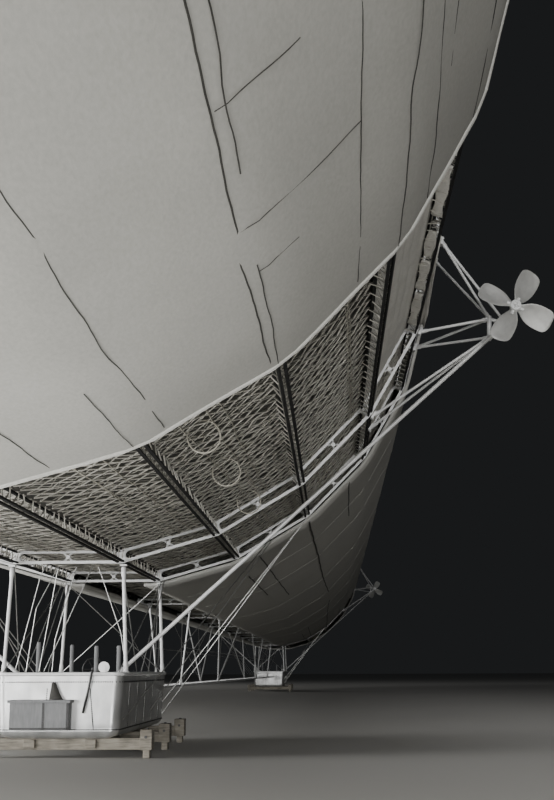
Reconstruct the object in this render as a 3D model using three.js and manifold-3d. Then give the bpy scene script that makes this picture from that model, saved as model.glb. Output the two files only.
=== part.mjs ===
// Rigid airship of about 1900 on its building cradles, a display model at one tenth of full size.
// Everything is drawn in metres of the full-size ship, and the group's scale turns them into
// millimetres of the model. +X is forward, +Y is port, and the floor is at height 0.
import * as THREE from 'three';
import { mergeVertices } from 'three/addons/utils/BufferGeometryUtils.js';
import Module from 'manifold-3d';

const wasm = await Module();
wasm.setup();

const modelMillimetresPerMetre = 100;
const gap = 0.003;                 // between pieces that touch, 0.3 mm on the model
const axisHeight = 8.60;           // hull axis above the floor

// Hull: a prism of 24 sides, with a wide bottom side and an ogive at each end.
// Stations are distances from mid-length, the same at bow and stern.
const hull = {
  sides: 24,
  bottomHalfAngle: 8.16,           // degrees from straight down to the first corner
  ringRadius: 5.82,                // corners of the rings
  coverWall: 0.10,
  straightEnd: 40,
  tip: 64
};
const bay = {
  innerRing: 28,
  outerRing: 32,
  coverEdge: 40,
  coverReach: 27.93,               // where the middle cover stops, just short of the inner ring
  ringThickness: 0.05,
  girderDepth: 0.20,
  chordDepth: 0.036,
  gussetShare: 0.09,               // part of a side that each gusset takes
  barWidth: 0.04,
  barDepth: 0.18,
  barInset: 0.014,
  barStart: 27.6,                  // the long bars end a little way under the covers
  barEnd: 40.12
};
const gasCell = { radius: 5.56, wall: 0.06, endClearance: 0.06, underCover: 0.8 };
const slot = { halfWidth: 0.575 }; // open strip along the bottom between the gondolas
const keel = { end: 27.55, webStations: [-20, -12, -4, 4, 12, 20], webHeight: 0.15, panelInset: 0.2 };

// Gondolas: open boats under the inner and outer rings.
const gondola = {
  middle: 30,
  endWall: 2.36,                   // from the gondola's middle to its upright end walls
  wall: 0.035,
  bottom: -8.31,
  railTop: -7.37,
  railHeight: 0.05,
  railOutside: 0.03,
  railInside: 0.02
};
const gondolaSections = [
  // height above the bottom, half length, half width, corner radius
  { height: 0.00, halfLength: 2.26, halfWidth: 0.72, corner: 0.08 },
  { height: 0.04, halfLength: 2.33, halfWidth: 0.83, corner: 0.12 },
  { height: 0.12, halfLength: gondola.endWall, halfWidth: 0.89, corner: 0.14 },
  { height: 0.887, halfLength: gondola.endWall, halfWidth: 0.93, corner: 0.14 }
];
const post = { headY: 0.85, footY: 0.92, radius: 0.028, padSize: 0.10, padHeight: 0.05 };
const floorHeight = gondola.bottom + gondola.wall + gap;

// Drive: a gearbox on the gondola's floor, a sloping shaft to each side and a propeller on a bracket.
const drive = {
  gearboxStation: 31.7,
  bearingStation: 32.15,
  hubStation: 32.95,
  hubY: 6.77,
  hubZ: -2.09,
  meetingZ: -8.065,                // where the two shafts of a gondola would meet, in its gearbox
  shaftRadius: 0.03,
  couplingRadius: 0.06,
  lowerStub: 0.52,
  upperStub: 0.24,
  couplingLength: 0.14,
  endPlay: 0.01
};
const propeller = {
  radius: 0.59,
  tipWidth: 0.36,
  rootWidth: 0.13,
  rootStart: 0.05,
  shoulder: 0.26,
  thickness: 0.02,
  pitch: 24,
  firstBlade: 29,                  // degrees from straight up towards starboard
  hubRadius: 0.085,
  hubLength: 0.16,
  stubLength: 0.14,
  stubRadius: 0.045,
  tipRound: 0.13,
  blades: 4
};

const gangway = {
  halfWidth: 0.28,
  headY: 0.50,
  deck: -7.70,
  stringer: 0.05,
  end: 27.5,
  lastRung: 26,
  rungSpacing: 2,
  rung: 0.04,
  hangerRadius: 0.02,
  padLength: 0.08,
  padWidth: 0.10,
  padHeight: 0.05
};
// Each web of the keel carries a hanger on both sides. Two webs share one place on the deck.
const hangers = [
  // station of the web, station of the hanger's lower end
  { web: 20, deck: 20 },
  { web: 12, deck: 10 },
  { web: 4, deck: 10 }
];
const cradle = {
  beams: [-2.0, 0, 2.0],
  beamWidth: 0.22,
  beamTop: -8.313,
  beamBottom: -8.48,
  halfLength: 1.34,
  blockLength: 0.17,
  blockTop: -8.19,
  bearerY: 0.45,
  bearerWidth: 0.16,
  bearerHeight: 0.12,
  bearerDrop: 0.02,
  bearerReach: 2.2,
  blockExtra: 0.06,                // how much longer than the beam is wide each end block is
  legLength: 0.16,
  legWidth: 0.10
};
const rudder = {
  station: 57,
  chord: 1.5,
  lead: 0.12,
  height: 1.8,
  thickness: 0.05,
  armReach: 0.85,
  arm: 0.07,
  pinGap: 0.02,
  pinRadius: 0.04,
  pinEnd: 0.05,                    // how far each pin stands out of the blade
  armExtra: 0.12,
  lowerEdge: 3.55,
  sideY: 4.05
};
const rudderStays = {
  radius: 0.025,
  bowSide: 1.5,
  bowAhead: 0.3,
  bowBelowTop: 0.2,
  bowPostFoot: 2,
  sternSide: 2.4,
  sternAhead: 1.6,
  sternInset: 0.2,
  sternRoot: { side: 2.6, length: 0.5, width: 0.2, extraHeight: 0.3 }
};

// Engine on the gondola's floor. Heights are above the floor and sides are distances to port.
const engineParts = {
  crankcase: { station: 30.2, length: 1.10, width: 0.44, height: 0.34 },
  radiator: { station: 29.15, length: 0.16, width: 0.62, height: 0.79 },
  bearer: { station: 29.3, length: 0.9, width: 0.12, height: 0.12, middle: 0.1 },
  crankHeight: 0.28,
  flywheel: { from: 30.7, to: 30.86, radius: 0.24 },
  tailShaft: { from: 30.8, to: 31.34, radius: 0.04 },
  cylinder: { first: 29.79, spacing: 0.25, count: 4, radius: 0.11, bottom: 0.3, top: 0.86 },
  inlet: {
    side: 0.2,
    height: 0.74,
    from: 29.7,
    to: 30.65,
    radius: 0.035,
    branchFrom: 0.05,
    branchRadius: 0.03
  }
};
const gearboxSize = { length: 0.40, width: 0.44, height: 0.42, stubFrom: 0.15 };

// A low chest outside the outer end wall of each gondola, with a lid that stands out round it.
const lockerParts = {
  side: 0.23,
  box: { length: 0.22, width: 0.86, low: -8.18, high: -7.79 },
  lid: { length: 0.25, width: 0.92, low: -7.80, high: -7.76 }
};
const stand = {
  station: 28.0,
  side: 0.3,
  plate: 0.3,
  plateHeight: 0.04,
  top: 0.97,
  radius: 0.03,
  axle: { height: 0.95, length: 0.18, radius: 0.025 },
  wheel: { reach: 0.17, radius: 0.2, rim: 0.018, spokes: 3, spokeRadius: 0.012 }
};

const coverCotton = new THREE.MeshStandardMaterial({ color: 0xb4b3ac, roughness: 0.9, metalness: 0 });
const cellCloth = new THREE.MeshStandardMaterial({ color: 0x2b2926, roughness: 0.8, metalness: 0 });
const girderMetal = new THREE.MeshStandardMaterial({ color: 0xa9a9a6, roughness: 0.5, metalness: 0.9 });
const sheetMetal = new THREE.MeshStandardMaterial({ color: 0x8f9090, roughness: 0.45, metalness: 0.9 });
const darkIron = new THREE.MeshStandardMaterial({ color: 0x3c3c3b, roughness: 0.55, metalness: 0.8 });
const greyPaint = new THREE.MeshStandardMaterial({ color: 0x77787a, roughness: 0.6, metalness: 0 });
const timber = new THREE.MeshStandardMaterial({ color: 0x6d6458, roughness: 0.85, metalness: 0 });

const airship = new THREE.Group();
airship.scale.setScalar(modelMillimetresPerMetre);

function addPiece(name, geometry, material) {
  const mesh = new THREE.Mesh(geometry, material);
  mesh.name = name;
  airship.add(mesh);
}

// A place from its station, its side and its height above the hull axis. end is 1 at the bow and -1 at
// the stern.
function place(end, station, y, z) {
  return new THREE.Vector3(end * station, y, axisHeight + z);
}

function toSolid(geometry) {
  const bare = geometry.clone();
  bare.deleteAttribute('normal');
  bare.deleteAttribute('uv');
  const merged = mergeVertices(bare, 1e-5);
  const vertProperties = Float32Array.from(merged.attributes.position.array);
  const triVerts = Uint32Array.from(merged.index.array);
  return new wasm.Manifold(new wasm.Mesh({ numProp: 3, vertProperties, triVerts }));
}

function toGeometry(solid) {
  const { vertProperties, triVerts } = solid.getMesh();
  const geometry = new THREE.BufferGeometry();
  geometry.setAttribute('position', new THREE.BufferAttribute(vertProperties, 3));
  geometry.setIndex(new THREE.BufferAttribute(triVerts, 1));
  return geometry;
}

function fuse(geometries) {
  return toGeometry(geometries.map(toSolid).reduce((whole, next) => whole.add(next)));
}

function block(centre, sizeX, sizeY, sizeZ, turnAboutX = 0) {
  const geometry = new THREE.BoxGeometry(sizeX, sizeY, sizeZ);
  geometry.rotateX(turnAboutX);
  geometry.translate(centre.x, centre.y, centre.z);
  return geometry;
}

function bar(from, to, radius, sides = 6) {
  const along = to.clone().sub(from);
  const geometry = new THREE.CylinderGeometry(radius, radius, along.length(), sides);
  const upright = new THREE.Vector3(0, 1, 0);
  const turn = new THREE.Quaternion().setFromUnitVectors(upright, along.clone().normalize());
  geometry.applyQuaternion(turn);
  const middle = from.clone().add(to).multiplyScalar(0.5);
  geometry.translate(middle.x, middle.y, middle.z);
  return geometry;
}

// An outline in the plane across the ship, carried along X between two places.
function prismAlongX(shape, x0, x1) {
  const geometry = new THREE.ExtrudeGeometry(shape, { depth: Math.abs(x1 - x0), bevelEnabled: false });
  const basis = new THREE.Matrix4().makeBasis(
    new THREE.Vector3(0, 1, 0), new THREE.Vector3(0, 0, 1), new THREE.Vector3(1, 0, 0));
  geometry.applyMatrix4(basis);
  geometry.translate(Math.min(x0, x1), 0, 0);
  return geometry;
}

// A body through rings of points. The last ring of a shell joins the first, else both ends are flat.
function loft(rings, isShell) {
  const count = rings[0].length;
  const positions = rings.flat().flatMap((point) => [point.x, point.y, point.z]);
  const faces = [];
  const bands = isShell ? rings.length : rings.length - 1;
  for (let band = 0; band < bands; band += 1) {
    const lower = band * count;
    const upper = ((band + 1) % rings.length) * count;
    for (let i = 0; i < count; i += 1) {
      const j = (i + 1) % count;
      faces.push(lower + i, lower + j, upper + j, lower + i, upper + j, upper + i);
    }
  }
  if (!isShell) {
    const last = (rings.length - 1) * count;
    for (let i = 1; i < count - 1; i += 1) {
      faces.push(0, i + 1, i, last, last + i, last + i + 1);
    }
  }
  const geometry = new THREE.BufferGeometry();
  geometry.setAttribute('position', new THREE.Float32BufferAttribute(positions, 3));
  geometry.setIndex(signedVolume(positions, faces) > 0 ? faces : faces.reverse());
  return geometry;
}

function signedVolume(positions, faces) {
  const corner = (i) => new THREE.Vector3(...positions.slice(3 * i, 3 * i + 3));
  let volume = 0;
  for (let i = 0; i < faces.length; i += 3) {
    volume += corner(faces[i]).dot(corner(faces[i + 1]).cross(corner(faces[i + 2]))) / 6;
  }
  return volume;
}

// Angle of a hull corner from straight down, to port. Corner 0 is the first to port of the bottom side.
function cornerAngle(corner) {
  const step = (360 - 2 * hull.bottomHalfAngle) / (hull.sides - 1);
  return THREE.MathUtils.degToRad(hull.bottomHalfAngle + step * corner);
}

// Corners of the 24-sided outline as points (y, z) of the plane across the ship.
function outline(radius) {
  return Array.from({ length: hull.sides }, (_, corner) => {
    const angle = cornerAngle(corner);
    return new THREE.Vector2(radius * Math.sin(angle), axisHeight - radius * Math.cos(angle));
  });
}

function ringOfPoints(x, radius) {
  return outline(radius).map((point) => new THREE.Vector3(x, point.x, point.y));
}

// Ogive: an arc that leaves the straight hull without a corner and comes to the axis at the tip.
function ogiveRadius(station, radius) {
  const length = hull.tip - hull.straightEnd;
  const arc = (length * length + radius * radius) / (2 * radius);
  const past = station - hull.straightEnd;
  return Math.sqrt(arc * arc - past * past) - (arc - radius);
}

const coverInner = hull.ringRadius + gap;
const coverOuter = coverInner + hull.coverWall;
const noseStations = [40, 44, 48, 52, 56, 59.5, 62, 63.2];
const noseTip = { station: 63.88, radius: 0.16, innerStation: 63.0, innerRadius: 0.12 };
const ringBottom = -hull.ringRadius * Math.cos(cornerAngle(0));
const padTop = ringBottom - gap - 0.001;

// The outer surface of a covered end, grown by an allowance, as a solid for cutting feet to the hull.
function endSurface(end, allowance) {
  const rings = noseStations.map((station) =>
    ringOfPoints(end * station, ogiveRadius(station, coverOuter) + allowance));
  rings.push(ringOfPoints(end * noseTip.station, noseTip.radius));
  return loft(rings, false);
}

// A blunt cup, open at its rim, with its inner wall closed a little way inside the tip.
function endCover(end) {
  const inner = noseStations.slice(0, -1).map((station) =>
    ringOfPoints(end * station, ogiveRadius(station, coverOuter) - wallAcross(station)));
  inner.push(ringOfPoints(end * noseTip.innerStation, noseTip.innerRadius));
  const hollow = loft([stretchRim(inner), ...inner], false);
  return toGeometry(toSolid(endSurface(end, 0)).subtract(toSolid(hollow)));
}

// Wall thickness measured across the ship, where the surface slopes.
function wallAcross(station) {
  const slope = (ogiveRadius(station, coverOuter) - ogiveRadius(station + 0.1, coverOuter)) / 0.1;
  return hull.coverWall * Math.sqrt(1 + slope * slope);
}

// The cutting body's first ring is drawn out past the rim so that the cut goes clean through it.
function stretchRim(rings) {
  return rings[0].map((point) => new THREE.Vector3(point.x - Math.sign(point.x), point.y, point.z));
}

function middleCover() {
  const bottomZ = (radius) => axisHeight - radius * Math.cos(cornerAngle(0));
  const points = [
    new THREE.Vector2(slot.halfWidth, bottomZ(coverOuter)),
    ...outline(coverOuter),
    new THREE.Vector2(-slot.halfWidth, bottomZ(coverOuter)),
    new THREE.Vector2(-slot.halfWidth, bottomZ(coverInner)),
    ...outline(coverInner).reverse(),
    new THREE.Vector2(slot.halfWidth, bottomZ(coverInner))
  ];
  return prismAlongX(new THREE.Shape(points), -bay.coverReach, bay.coverReach);
}

function cellTube(x0, x1) {
  const shape = new THREE.Shape(outline(gasCell.radius));
  shape.holes.push(new THREE.Path(outline(gasCell.radius - gasCell.wall)));
  return prismAlongX(shape, x0, x1);
}

// One ring: outer and inner chord with a gusset at each corner and an open panel along each side.
function ring(x) {
  const radius = hull.ringRadius;
  const shape = new THREE.Shape(outline(radius));
  shape.holes.push(new THREE.Path(outline(radius - bay.girderDepth)));
  const panelOuter = outline(radius - bay.chordDepth);
  const panelInner = outline(radius - bay.girderDepth + bay.chordDepth);
  for (let side = 0; side < hull.sides; side += 1) {
    const next = (side + 1) % hull.sides;
    const share = bay.gussetShare;
    shape.holes.push(new THREE.Path([
      panelOuter[side].clone().lerp(panelOuter[next], share),
      panelOuter[side].clone().lerp(panelOuter[next], 1 - share),
      panelInner[side].clone().lerp(panelInner[next], 1 - share),
      panelInner[side].clone().lerp(panelInner[next], share)
    ]));
  }
  return prismAlongX(shape, x - bay.ringThickness / 2, x + bay.ringThickness / 2);
}

// A long bar under one corner of the hull.
function longBar(corner, x0, x1) {
  const angle = cornerAngle(corner);
  const radius = hull.ringRadius - bay.barInset - bay.barDepth / 2;
  const centre = place(1, (x0 + x1) / 2, radius * Math.sin(angle), -radius * Math.cos(angle));
  return block(centre, Math.abs(x1 - x0), bay.barWidth, bay.barDepth, angle);
}

function openFrame(end) {
  const pieces = [ring(end * bay.innerRing), ring(end * bay.outerRing)];
  for (let corner = 0; corner < hull.sides; corner += 1) {
    pieces.push(longBar(corner, end * bay.barStart, end * bay.barEnd));
  }
  return fuse(pieces);
}

function keelGirder() {
  const halfWidth = hull.ringRadius * Math.sin(cornerAngle(0));
  const pieces = [0, hull.sides - 1].map((corner) => longBar(corner, -keel.end, keel.end));
  keel.webStations.forEach((station) => {
    const centre = place(1, station, 0, ringBottom + keel.webHeight / 2);
    const web = block(centre, bay.ringThickness, 2 * halfWidth - bay.barWidth, keel.webHeight);
    const panelHeight = keel.webHeight - 2 * bay.chordDepth;
    const panel = block(centre, 1, 2 * (halfWidth - keel.panelInset), panelHeight);
    pieces.push(toGeometry(toSolid(web).subtract(toSolid(panel))));
  });
  return fuse(pieces);
}

// A rectangle with rounded corners at one height, each corner an arc of five steps.
function roundedRing(x, z, halfLength, halfWidth, corner) {
  const steps = 5;
  const points = [];
  [[1, 1], [-1, 1], [-1, -1], [1, -1]].forEach(([signX, signY], quarter) => {
    for (let i = 0; i <= steps; i += 1) {
      const angle = (quarter + i / steps) * Math.PI / 2;
      points.push(new THREE.Vector3(
        x + signX * (halfLength - corner) + corner * Math.cos(angle),
        signY * (halfWidth - corner) + corner * Math.sin(angle),
        axisHeight + z));
    }
  });
  return points;
}

function gondolaTub(end) {
  const x = end * gondola.middle;
  const wall = gondola.wall;
  const outer = gondolaSections.map((section) => roundedRing(
    x, gondola.bottom + section.height, section.halfLength, section.halfWidth, section.corner));
  const inner = gondolaSections.map((section) => roundedRing(
    x, gondola.bottom + Math.max(section.height, wall), section.halfLength - wall,
    section.halfWidth - wall, section.corner - wall));
  const openTop = 0.1;
  inner.push(inner.pop().map((point) => new THREE.Vector3(point.x, point.y, point.z + openTop)));
  return toGeometry(toSolid(loft(outer, false)).subtract(toSolid(loft(inner, false))));
}

// The rail round the gondola's rim with the four posts that carry the gondola from the rings.
function gunwale(end) {
  const x = end * gondola.middle;
  const rim = gondolaSections[gondolaSections.length - 1];
  const low = gondola.railTop - gondola.railHeight;
  const high = gondola.railTop;
  const outside = gondola.railOutside;
  const inside = -gondola.railInside;
  const band = (grow, z) =>
    roundedRing(x, z, rim.halfLength + grow, rim.halfWidth + grow, rim.corner + grow);
  const rail = loft([band(outside, low), band(outside, high), band(inside, high), band(inside, low)], true);
  const pieces = [rail];
  [bay.innerRing, bay.outerRing].forEach((station) => {
    [-1, 1].forEach((side) => {
      const foot = place(end, station, side * post.footY, gondola.railTop - 0.02);
      const pad = place(end, station, side * post.headY, padTop - post.padHeight / 2 + 0.001);
      pieces.push(bar(foot, pad, post.radius, 8));
      pieces.push(block(pad, post.padSize, post.padSize, post.padHeight));
    });
  });
  return fuse(pieces);
}

// A plain block that stands on the gondola's floor.
function standingBlock(end, y, part) {
  const middle = place(end, part.station, y, floorHeight + part.height / 2);
  return block(middle, part.length, part.width, part.height);
}

function engine(end) {
  const { crankcase, radiator, bearer, crankHeight, flywheel, tailShaft, cylinder, inlet } = engineParts;
  const at = (station, y, height) => place(end, station, y, floorHeight + height);
  const pieces = [
    standingBlock(end, 0, crankcase),
    standingBlock(end, 0, radiator),
    block(at(bearer.station, 0, bearer.middle), bearer.length, bearer.width, bearer.height),
    bar(at(flywheel.from, 0, crankHeight), at(flywheel.to, 0, crankHeight), flywheel.radius, 16),
    bar(at(tailShaft.from, 0, crankHeight), at(tailShaft.to, 0, crankHeight), tailShaft.radius, 8),
    bar(at(inlet.from, inlet.side, inlet.height), at(inlet.to, inlet.side, inlet.height), inlet.radius)
  ];
  for (let i = 0; i < cylinder.count; i += 1) {
    const station = cylinder.first + cylinder.spacing * i;
    const branch = [inlet.branchFrom, inlet.side].map((y) => at(station, y, inlet.height));
    pieces.push(bar(at(station, 0, cylinder.bottom), at(station, 0, cylinder.top), cylinder.radius, 10));
    pieces.push(bar(branch[0], branch[1], inlet.branchRadius));
  }
  return fuse(pieces);
}

// The line of a sloping shaft, from the middle of the gearbox to the bearing behind the propeller.
const shaftRise = new THREE.Vector3(
  drive.bearingStation - drive.gearboxStation, drive.hubY, drive.hubZ - drive.meetingZ);
const shaftLength = shaftRise.length();

function alongShaft(end, side, distance) {
  const share = distance / shaftLength;
  return place(end, drive.gearboxStation + share * shaftRise.x, side * share * shaftRise.y,
    drive.meetingZ + share * shaftRise.z);
}

function gearbox(end) {
  const pieces = [standingBlock(end, 0, { station: drive.gearboxStation, ...gearboxSize })];
  [-1, 1].forEach((side) => {
    const stub = [gearboxSize.stubFrom, drive.lowerStub].map((distance) => alongShaft(end, side, distance));
    pieces.push(bar(stub[0], stub[1], drive.couplingRadius, 10));
  });
  return fuse(pieces);
}

function driveShaft(end, side) {
  const start = drive.lowerStub + drive.endPlay;
  const stop = shaftLength - drive.upperStub - drive.endPlay;
  const stretch = (from, to, radius) =>
    bar(alongShaft(end, side, from), alongShaft(end, side, to), radius, 10);
  return fuse([
    stretch(start, start + drive.couplingLength, drive.couplingRadius),
    stretch(start + drive.couplingLength / 2, stop - drive.couplingLength / 2, drive.shaftRadius),
    stretch(stop - drive.couplingLength, stop, drive.couplingRadius)
  ]);
}

// Struts of one propeller bracket: from the head, heel or back of the bracket to a corner of the outer
// ring, or to a long bar at the aft station.
const aftFeet = 31;
const bracketStruts = [
  // part of the bracket it starts from, station of its foot, hull corner, radius
  { from: 'head', station: bay.outerRing, corner: 5, radius: 0.022 },
  { from: 'back', station: bay.outerRing, corner: 5, radius: 0.022 },
  { from: 'head', station: aftFeet, corner: 5, radius: 0.02 },
  { from: 'head', station: bay.outerRing, corner: 4, radius: 0.022 },
  { from: 'head', station: aftFeet, corner: 4, radius: 0.02 },
  { from: 'heel', station: aftFeet, corner: 4, radius: 0.02 },
  { from: 'heel', station: bay.outerRing, corner: 3, radius: 0.022 },
  { from: 'heel', station: aftFeet, corner: 3, radius: 0.022 }
];
const bracket = {
  station: 31.97,
  headY: 6.51,
  headZ: -2.00,
  heelY: 6.49,
  heelZ: -2.30,
  uprightExtra: 0.05,
  uprightRadius: 0.04,
  tieRadius: 0.03,
  noseRadius: 0.05,
  hubLength: 0.40,
  hubSize: 0.22,
  foot: { length: 0.14, width: 0.12, height: 0.06 }
};

function outrigger(end, side) {
  const { uprightExtra, uprightRadius, tieRadius, noseRadius, hubLength, hubSize, foot } = bracket;
  const at = (station, y, z) => place(end, station, side * y, z);
  const head = at(bracket.station, bracket.headY, bracket.headZ);
  const heel = at(bracket.station, bracket.heelY, bracket.heelZ);
  const back = at(bracket.station, drive.hubY, drive.hubZ);
  const hub = at(drive.bearingStation, drive.hubY, drive.hubZ);
  const ends = { head, heel, back };
  const noseBearing = drive.hubStation - propeller.hubLength / 2 - propeller.stubLength - drive.endPlay;
  const upright = [
    at(bracket.station, bracket.headY, bracket.headZ + uprightExtra),
    at(bracket.station, bracket.heelY, bracket.heelZ - uprightExtra)
  ];
  const pieces = [
    bar(upright[0], upright[1], uprightRadius, 8),
    block(hub.clone().add(back).multiplyScalar(0.5), hubLength, hubSize, hubSize),
    bar(head, back, tieRadius),
    bar(heel, back, tieRadius),
    bar(hub, alongShaft(end, side, shaftLength - drive.upperStub), drive.couplingRadius, 10),
    bar(hub, at(noseBearing, drive.hubY, drive.hubZ), noseRadius, 10)
  ];
  const footPlaces = new Set();
  bracketStruts.forEach((strut) => {
    const angle = cornerAngle(strut.corner);
    const surface = strut.station === aftFeet ? hull.ringRadius - bay.barInset : hull.ringRadius;
    const seat = surface + gap + foot.height / 2;
    const footCentre = at(strut.station, seat * Math.sin(angle), -seat * Math.cos(angle));
    const footPlace = `${strut.station} ${strut.corner}`;
    if (!footPlaces.has(footPlace)) {
      pieces.push(block(footCentre, foot.length, foot.width, foot.height, side * angle));
      footPlaces.add(footPlace);
    }
    pieces.push(bar(footCentre, ends[strut.from], strut.radius));
  });
  return fuse(pieces);
}

// One paddle blade standing up from the hub, turned by its pitch and then about the propeller's axis.
function blade(turn) {
  const half = propeller.tipWidth / 2;
  const round = propeller.tipRound;
  const shape = new THREE.Shape();
  shape.moveTo(-propeller.rootWidth / 2, propeller.rootStart);
  shape.lineTo(propeller.rootWidth / 2, propeller.rootStart);
  shape.lineTo(half, propeller.shoulder);
  shape.lineTo(half, propeller.radius - round);
  shape.absarc(half - round, propeller.radius - round, round, 0, Math.PI / 2, false);
  shape.absarc(-half + round, propeller.radius - round, round, Math.PI / 2, Math.PI, false);
  shape.lineTo(-half, propeller.shoulder);
  const geometry = new THREE.ExtrudeGeometry(shape, {
    depth: propeller.thickness, bevelEnabled: false, curveSegments: 3
  });
  geometry.translate(0, 0, -propeller.thickness / 2);
  geometry.rotateY(THREE.MathUtils.degToRad(90 + propeller.pitch));
  geometry.rotateX(Math.PI / 2);
  geometry.rotateX(turn);
  return geometry;
}

function propellerBody(end, side) {
  const half = propeller.hubLength / 2;
  const onAxis = (x) => new THREE.Vector3(x, 0, 0);
  const pieces = [
    bar(onAxis(-half), onAxis(half), propeller.hubRadius, 12),
    bar(onAxis(0), onAxis(-end * (half + propeller.stubLength)), propeller.stubRadius, 10)
  ];
  for (let i = 0; i < propeller.blades; i += 1) {
    pieces.push(blade(THREE.MathUtils.degToRad(propeller.firstBlade + i * 360 / propeller.blades)));
  }
  const hub = place(end, drive.hubStation, side * drive.hubY, drive.hubZ);
  return fuse(pieces).translate(hub.x, hub.y, hub.z);
}

function gangwayAndHangers() {
  const { halfWidth, deck, stringer, end, lastRung, rungSpacing, rung, headY } = gangway;
  const pieces = [];
  [-1, 1].forEach((side) => {
    pieces.push(block(place(1, 0, side * halfWidth, deck), 2 * end, stringer, stringer));
  });
  for (let station = -lastRung; station <= lastRung; station += rungSpacing) {
    pieces.push(block(place(1, station, 0, deck), rung, 2 * halfWidth, rung));
  }
  hangers.forEach((hanger) => {
    [-1, 1].forEach((way) => {
      [-1, 1].forEach((side) => {
        const pad = place(way, hanger.web, side * headY, padTop - gangway.padHeight / 2 + 0.001);
        pieces.push(bar(place(way, hanger.deck, side * halfWidth, deck), pad, gangway.hangerRadius));
        pieces.push(block(pad, gangway.padLength, gangway.padWidth, gangway.padHeight));
      });
    });
  });
  return fuse(pieces);
}

function cradleBody(end) {
  const { beamWidth, beamTop, beamBottom, halfLength, blockLength, blockTop } = cradle;
  const pieces = [];
  // A timber centred on y, from one height to another above the hull axis.
  const timberAt = (station, y, low, high, sizeX, sizeY) =>
    block(place(end, station, y, (low + high) / 2), sizeX, sizeY, high - low);
  cradle.beams.forEach((offset) => {
    const station = gondola.middle + offset;
    pieces.push(timberAt(station, 0, beamBottom, beamTop, beamWidth, 2 * halfLength));
    [-1, 1].forEach((side) => {
      const blockY = side * (halfLength - blockLength / 2);
      const blockWidth = beamWidth + cradle.blockExtra;
      pieces.push(timberAt(station, blockY, beamBottom, blockTop, blockWidth, blockLength));
      pieces.push(timberAt(station, blockY, -axisHeight, beamBottom + 0.02,
        cradle.legLength, cradle.legWidth));
    });
  });
  [-1, 1].forEach((side) => {
    const top = beamTop - cradle.bearerDrop;
    pieces.push(timberAt(gondola.middle, side * cradle.bearerY, top - cradle.bearerHeight, top,
      2 * cradle.bearerReach, cradle.bearerWidth));
  });
  return fuse(pieces);
}

// A rudder blade with its two pins, about a vertical line at the station given.
function rudderBlade(end, y, lowerZ) {
  const { station, chord, lead, height, thickness, pinEnd, pinRadius } = rudder;
  const middle = station - end * (chord / 2 - lead);
  return fuse([
    block(place(end, middle, y, lowerZ + height / 2), chord, thickness, height),
    bar(place(end, station, y, lowerZ - pinEnd), place(end, station, y, lowerZ + height + pinEnd),
      pinRadius, 10)
  ]);
}

// Bow rudders stand above and below the hull, on a post ahead of them with two arms.
function bowRudderFrame(up) {
  const { station, height, arm, armReach, armExtra, pinGap, pinEnd, lowerEdge } = rudder;
  const { radius, bowSide, bowAhead, bowBelowTop, bowPostFoot } = rudderStays;
  const postStation = station + armReach;
  const near = lowerEdge - pinEnd - pinGap;
  const far = lowerEdge + height + pinEnd + pinGap;
  const armAt = (z) =>
    block(place(1, (station + postStation) / 2, 0, up * z), armReach + armExtra, arm, arm);
  const pieces = [
    block(place(1, postStation, 0, up * (far + bowPostFoot) / 2), arm, arm, far + arm - bowPostFoot),
    armAt(near - arm / 2),
    armAt(far + arm / 2)
  ];
  [-1, 1].forEach((side) => {
    const foot = place(1, postStation + bowAhead, side * bowSide, up * bowSide);
    pieces.push(bar(foot, place(1, postStation, 0, up * (far - bowBelowTop)), radius));
  });
  return cutToHull(1, pieces);
}

// Stern rudders stand beside the hull between two level arms.
function sternRudderFrame(side) {
  const { station, height, arm, pinGap, pinEnd, sideY } = rudder;
  const { radius, sternSide, sternAhead, sternInset, sternRoot } = rudderStays;
  const level = height / 2 + pinEnd + pinGap + arm / 2;
  const reach = sideY + 0.1;
  const pieces = [block(place(-1, station, side * sternRoot.side, 0),
    sternRoot.length, sternRoot.width, 2 * level + sternRoot.extraHeight)];
  [-1, 1].forEach((up) => {
    const foot = place(-1, station - sternAhead, side * sternSide, up * level);
    pieces.push(block(place(-1, station, side * reach / 2, up * level), arm, reach, arm));
    pieces.push(bar(foot, place(-1, station, side * (sideY - sternInset), up * level), radius));
  });
  return cutToHull(-1, pieces);
}

// The part of a bracket that stands outside the covered hull.
function cutToHull(end, pieces) {
  const whole = pieces.map(toSolid).reduce((sum, next) => sum.add(next));
  const outside = whole.subtract(toSolid(endSurface(end, gap)));
  const largest = outside.decompose().sort((a, b) => b.volume() - a.volume())[0];
  return toGeometry(largest);
}

function locker(end) {
  const { side, box, lid } = lockerParts;
  const wallFace = gondola.middle + gondola.endWall + gap;
  return fuse([box, lid].map(({ length, width, low, high }) =>
    block(place(end, wallFace + length / 2, side, (low + high) / 2), length, width, high - low)));
}

function steeringStand(end) {
  const { station, side, plate, plateHeight, top, radius, axle, wheel } = stand;
  const at = (distance, height) => place(end, station + distance, side, floorHeight + height);
  const centre = at(wheel.reach, axle.height);
  const rim = new THREE.TorusGeometry(wheel.radius, wheel.rim, 6, 20);
  rim.rotateY(Math.PI / 2);
  rim.translate(centre.x, centre.y, centre.z);
  const pieces = [
    block(at(0, plateHeight / 2), plate, plate, plateHeight),
    bar(at(0, 0), at(0, top), radius, 8),
    bar(at(0, axle.height), at(axle.length, axle.height), axle.radius, 8),
    rim
  ];
  for (let spoke = 0; spoke < wheel.spokes; spoke += 1) {
    const angle = spoke * Math.PI / wheel.spokes;
    const reach = new THREE.Vector3(0, Math.cos(angle), Math.sin(angle)).multiplyScalar(wheel.radius);
    pieces.push(bar(centre.clone().sub(reach), centre.clone().add(reach), wheel.spokeRadius, 5));
  }
  return fuse(pieces);
}

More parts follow.
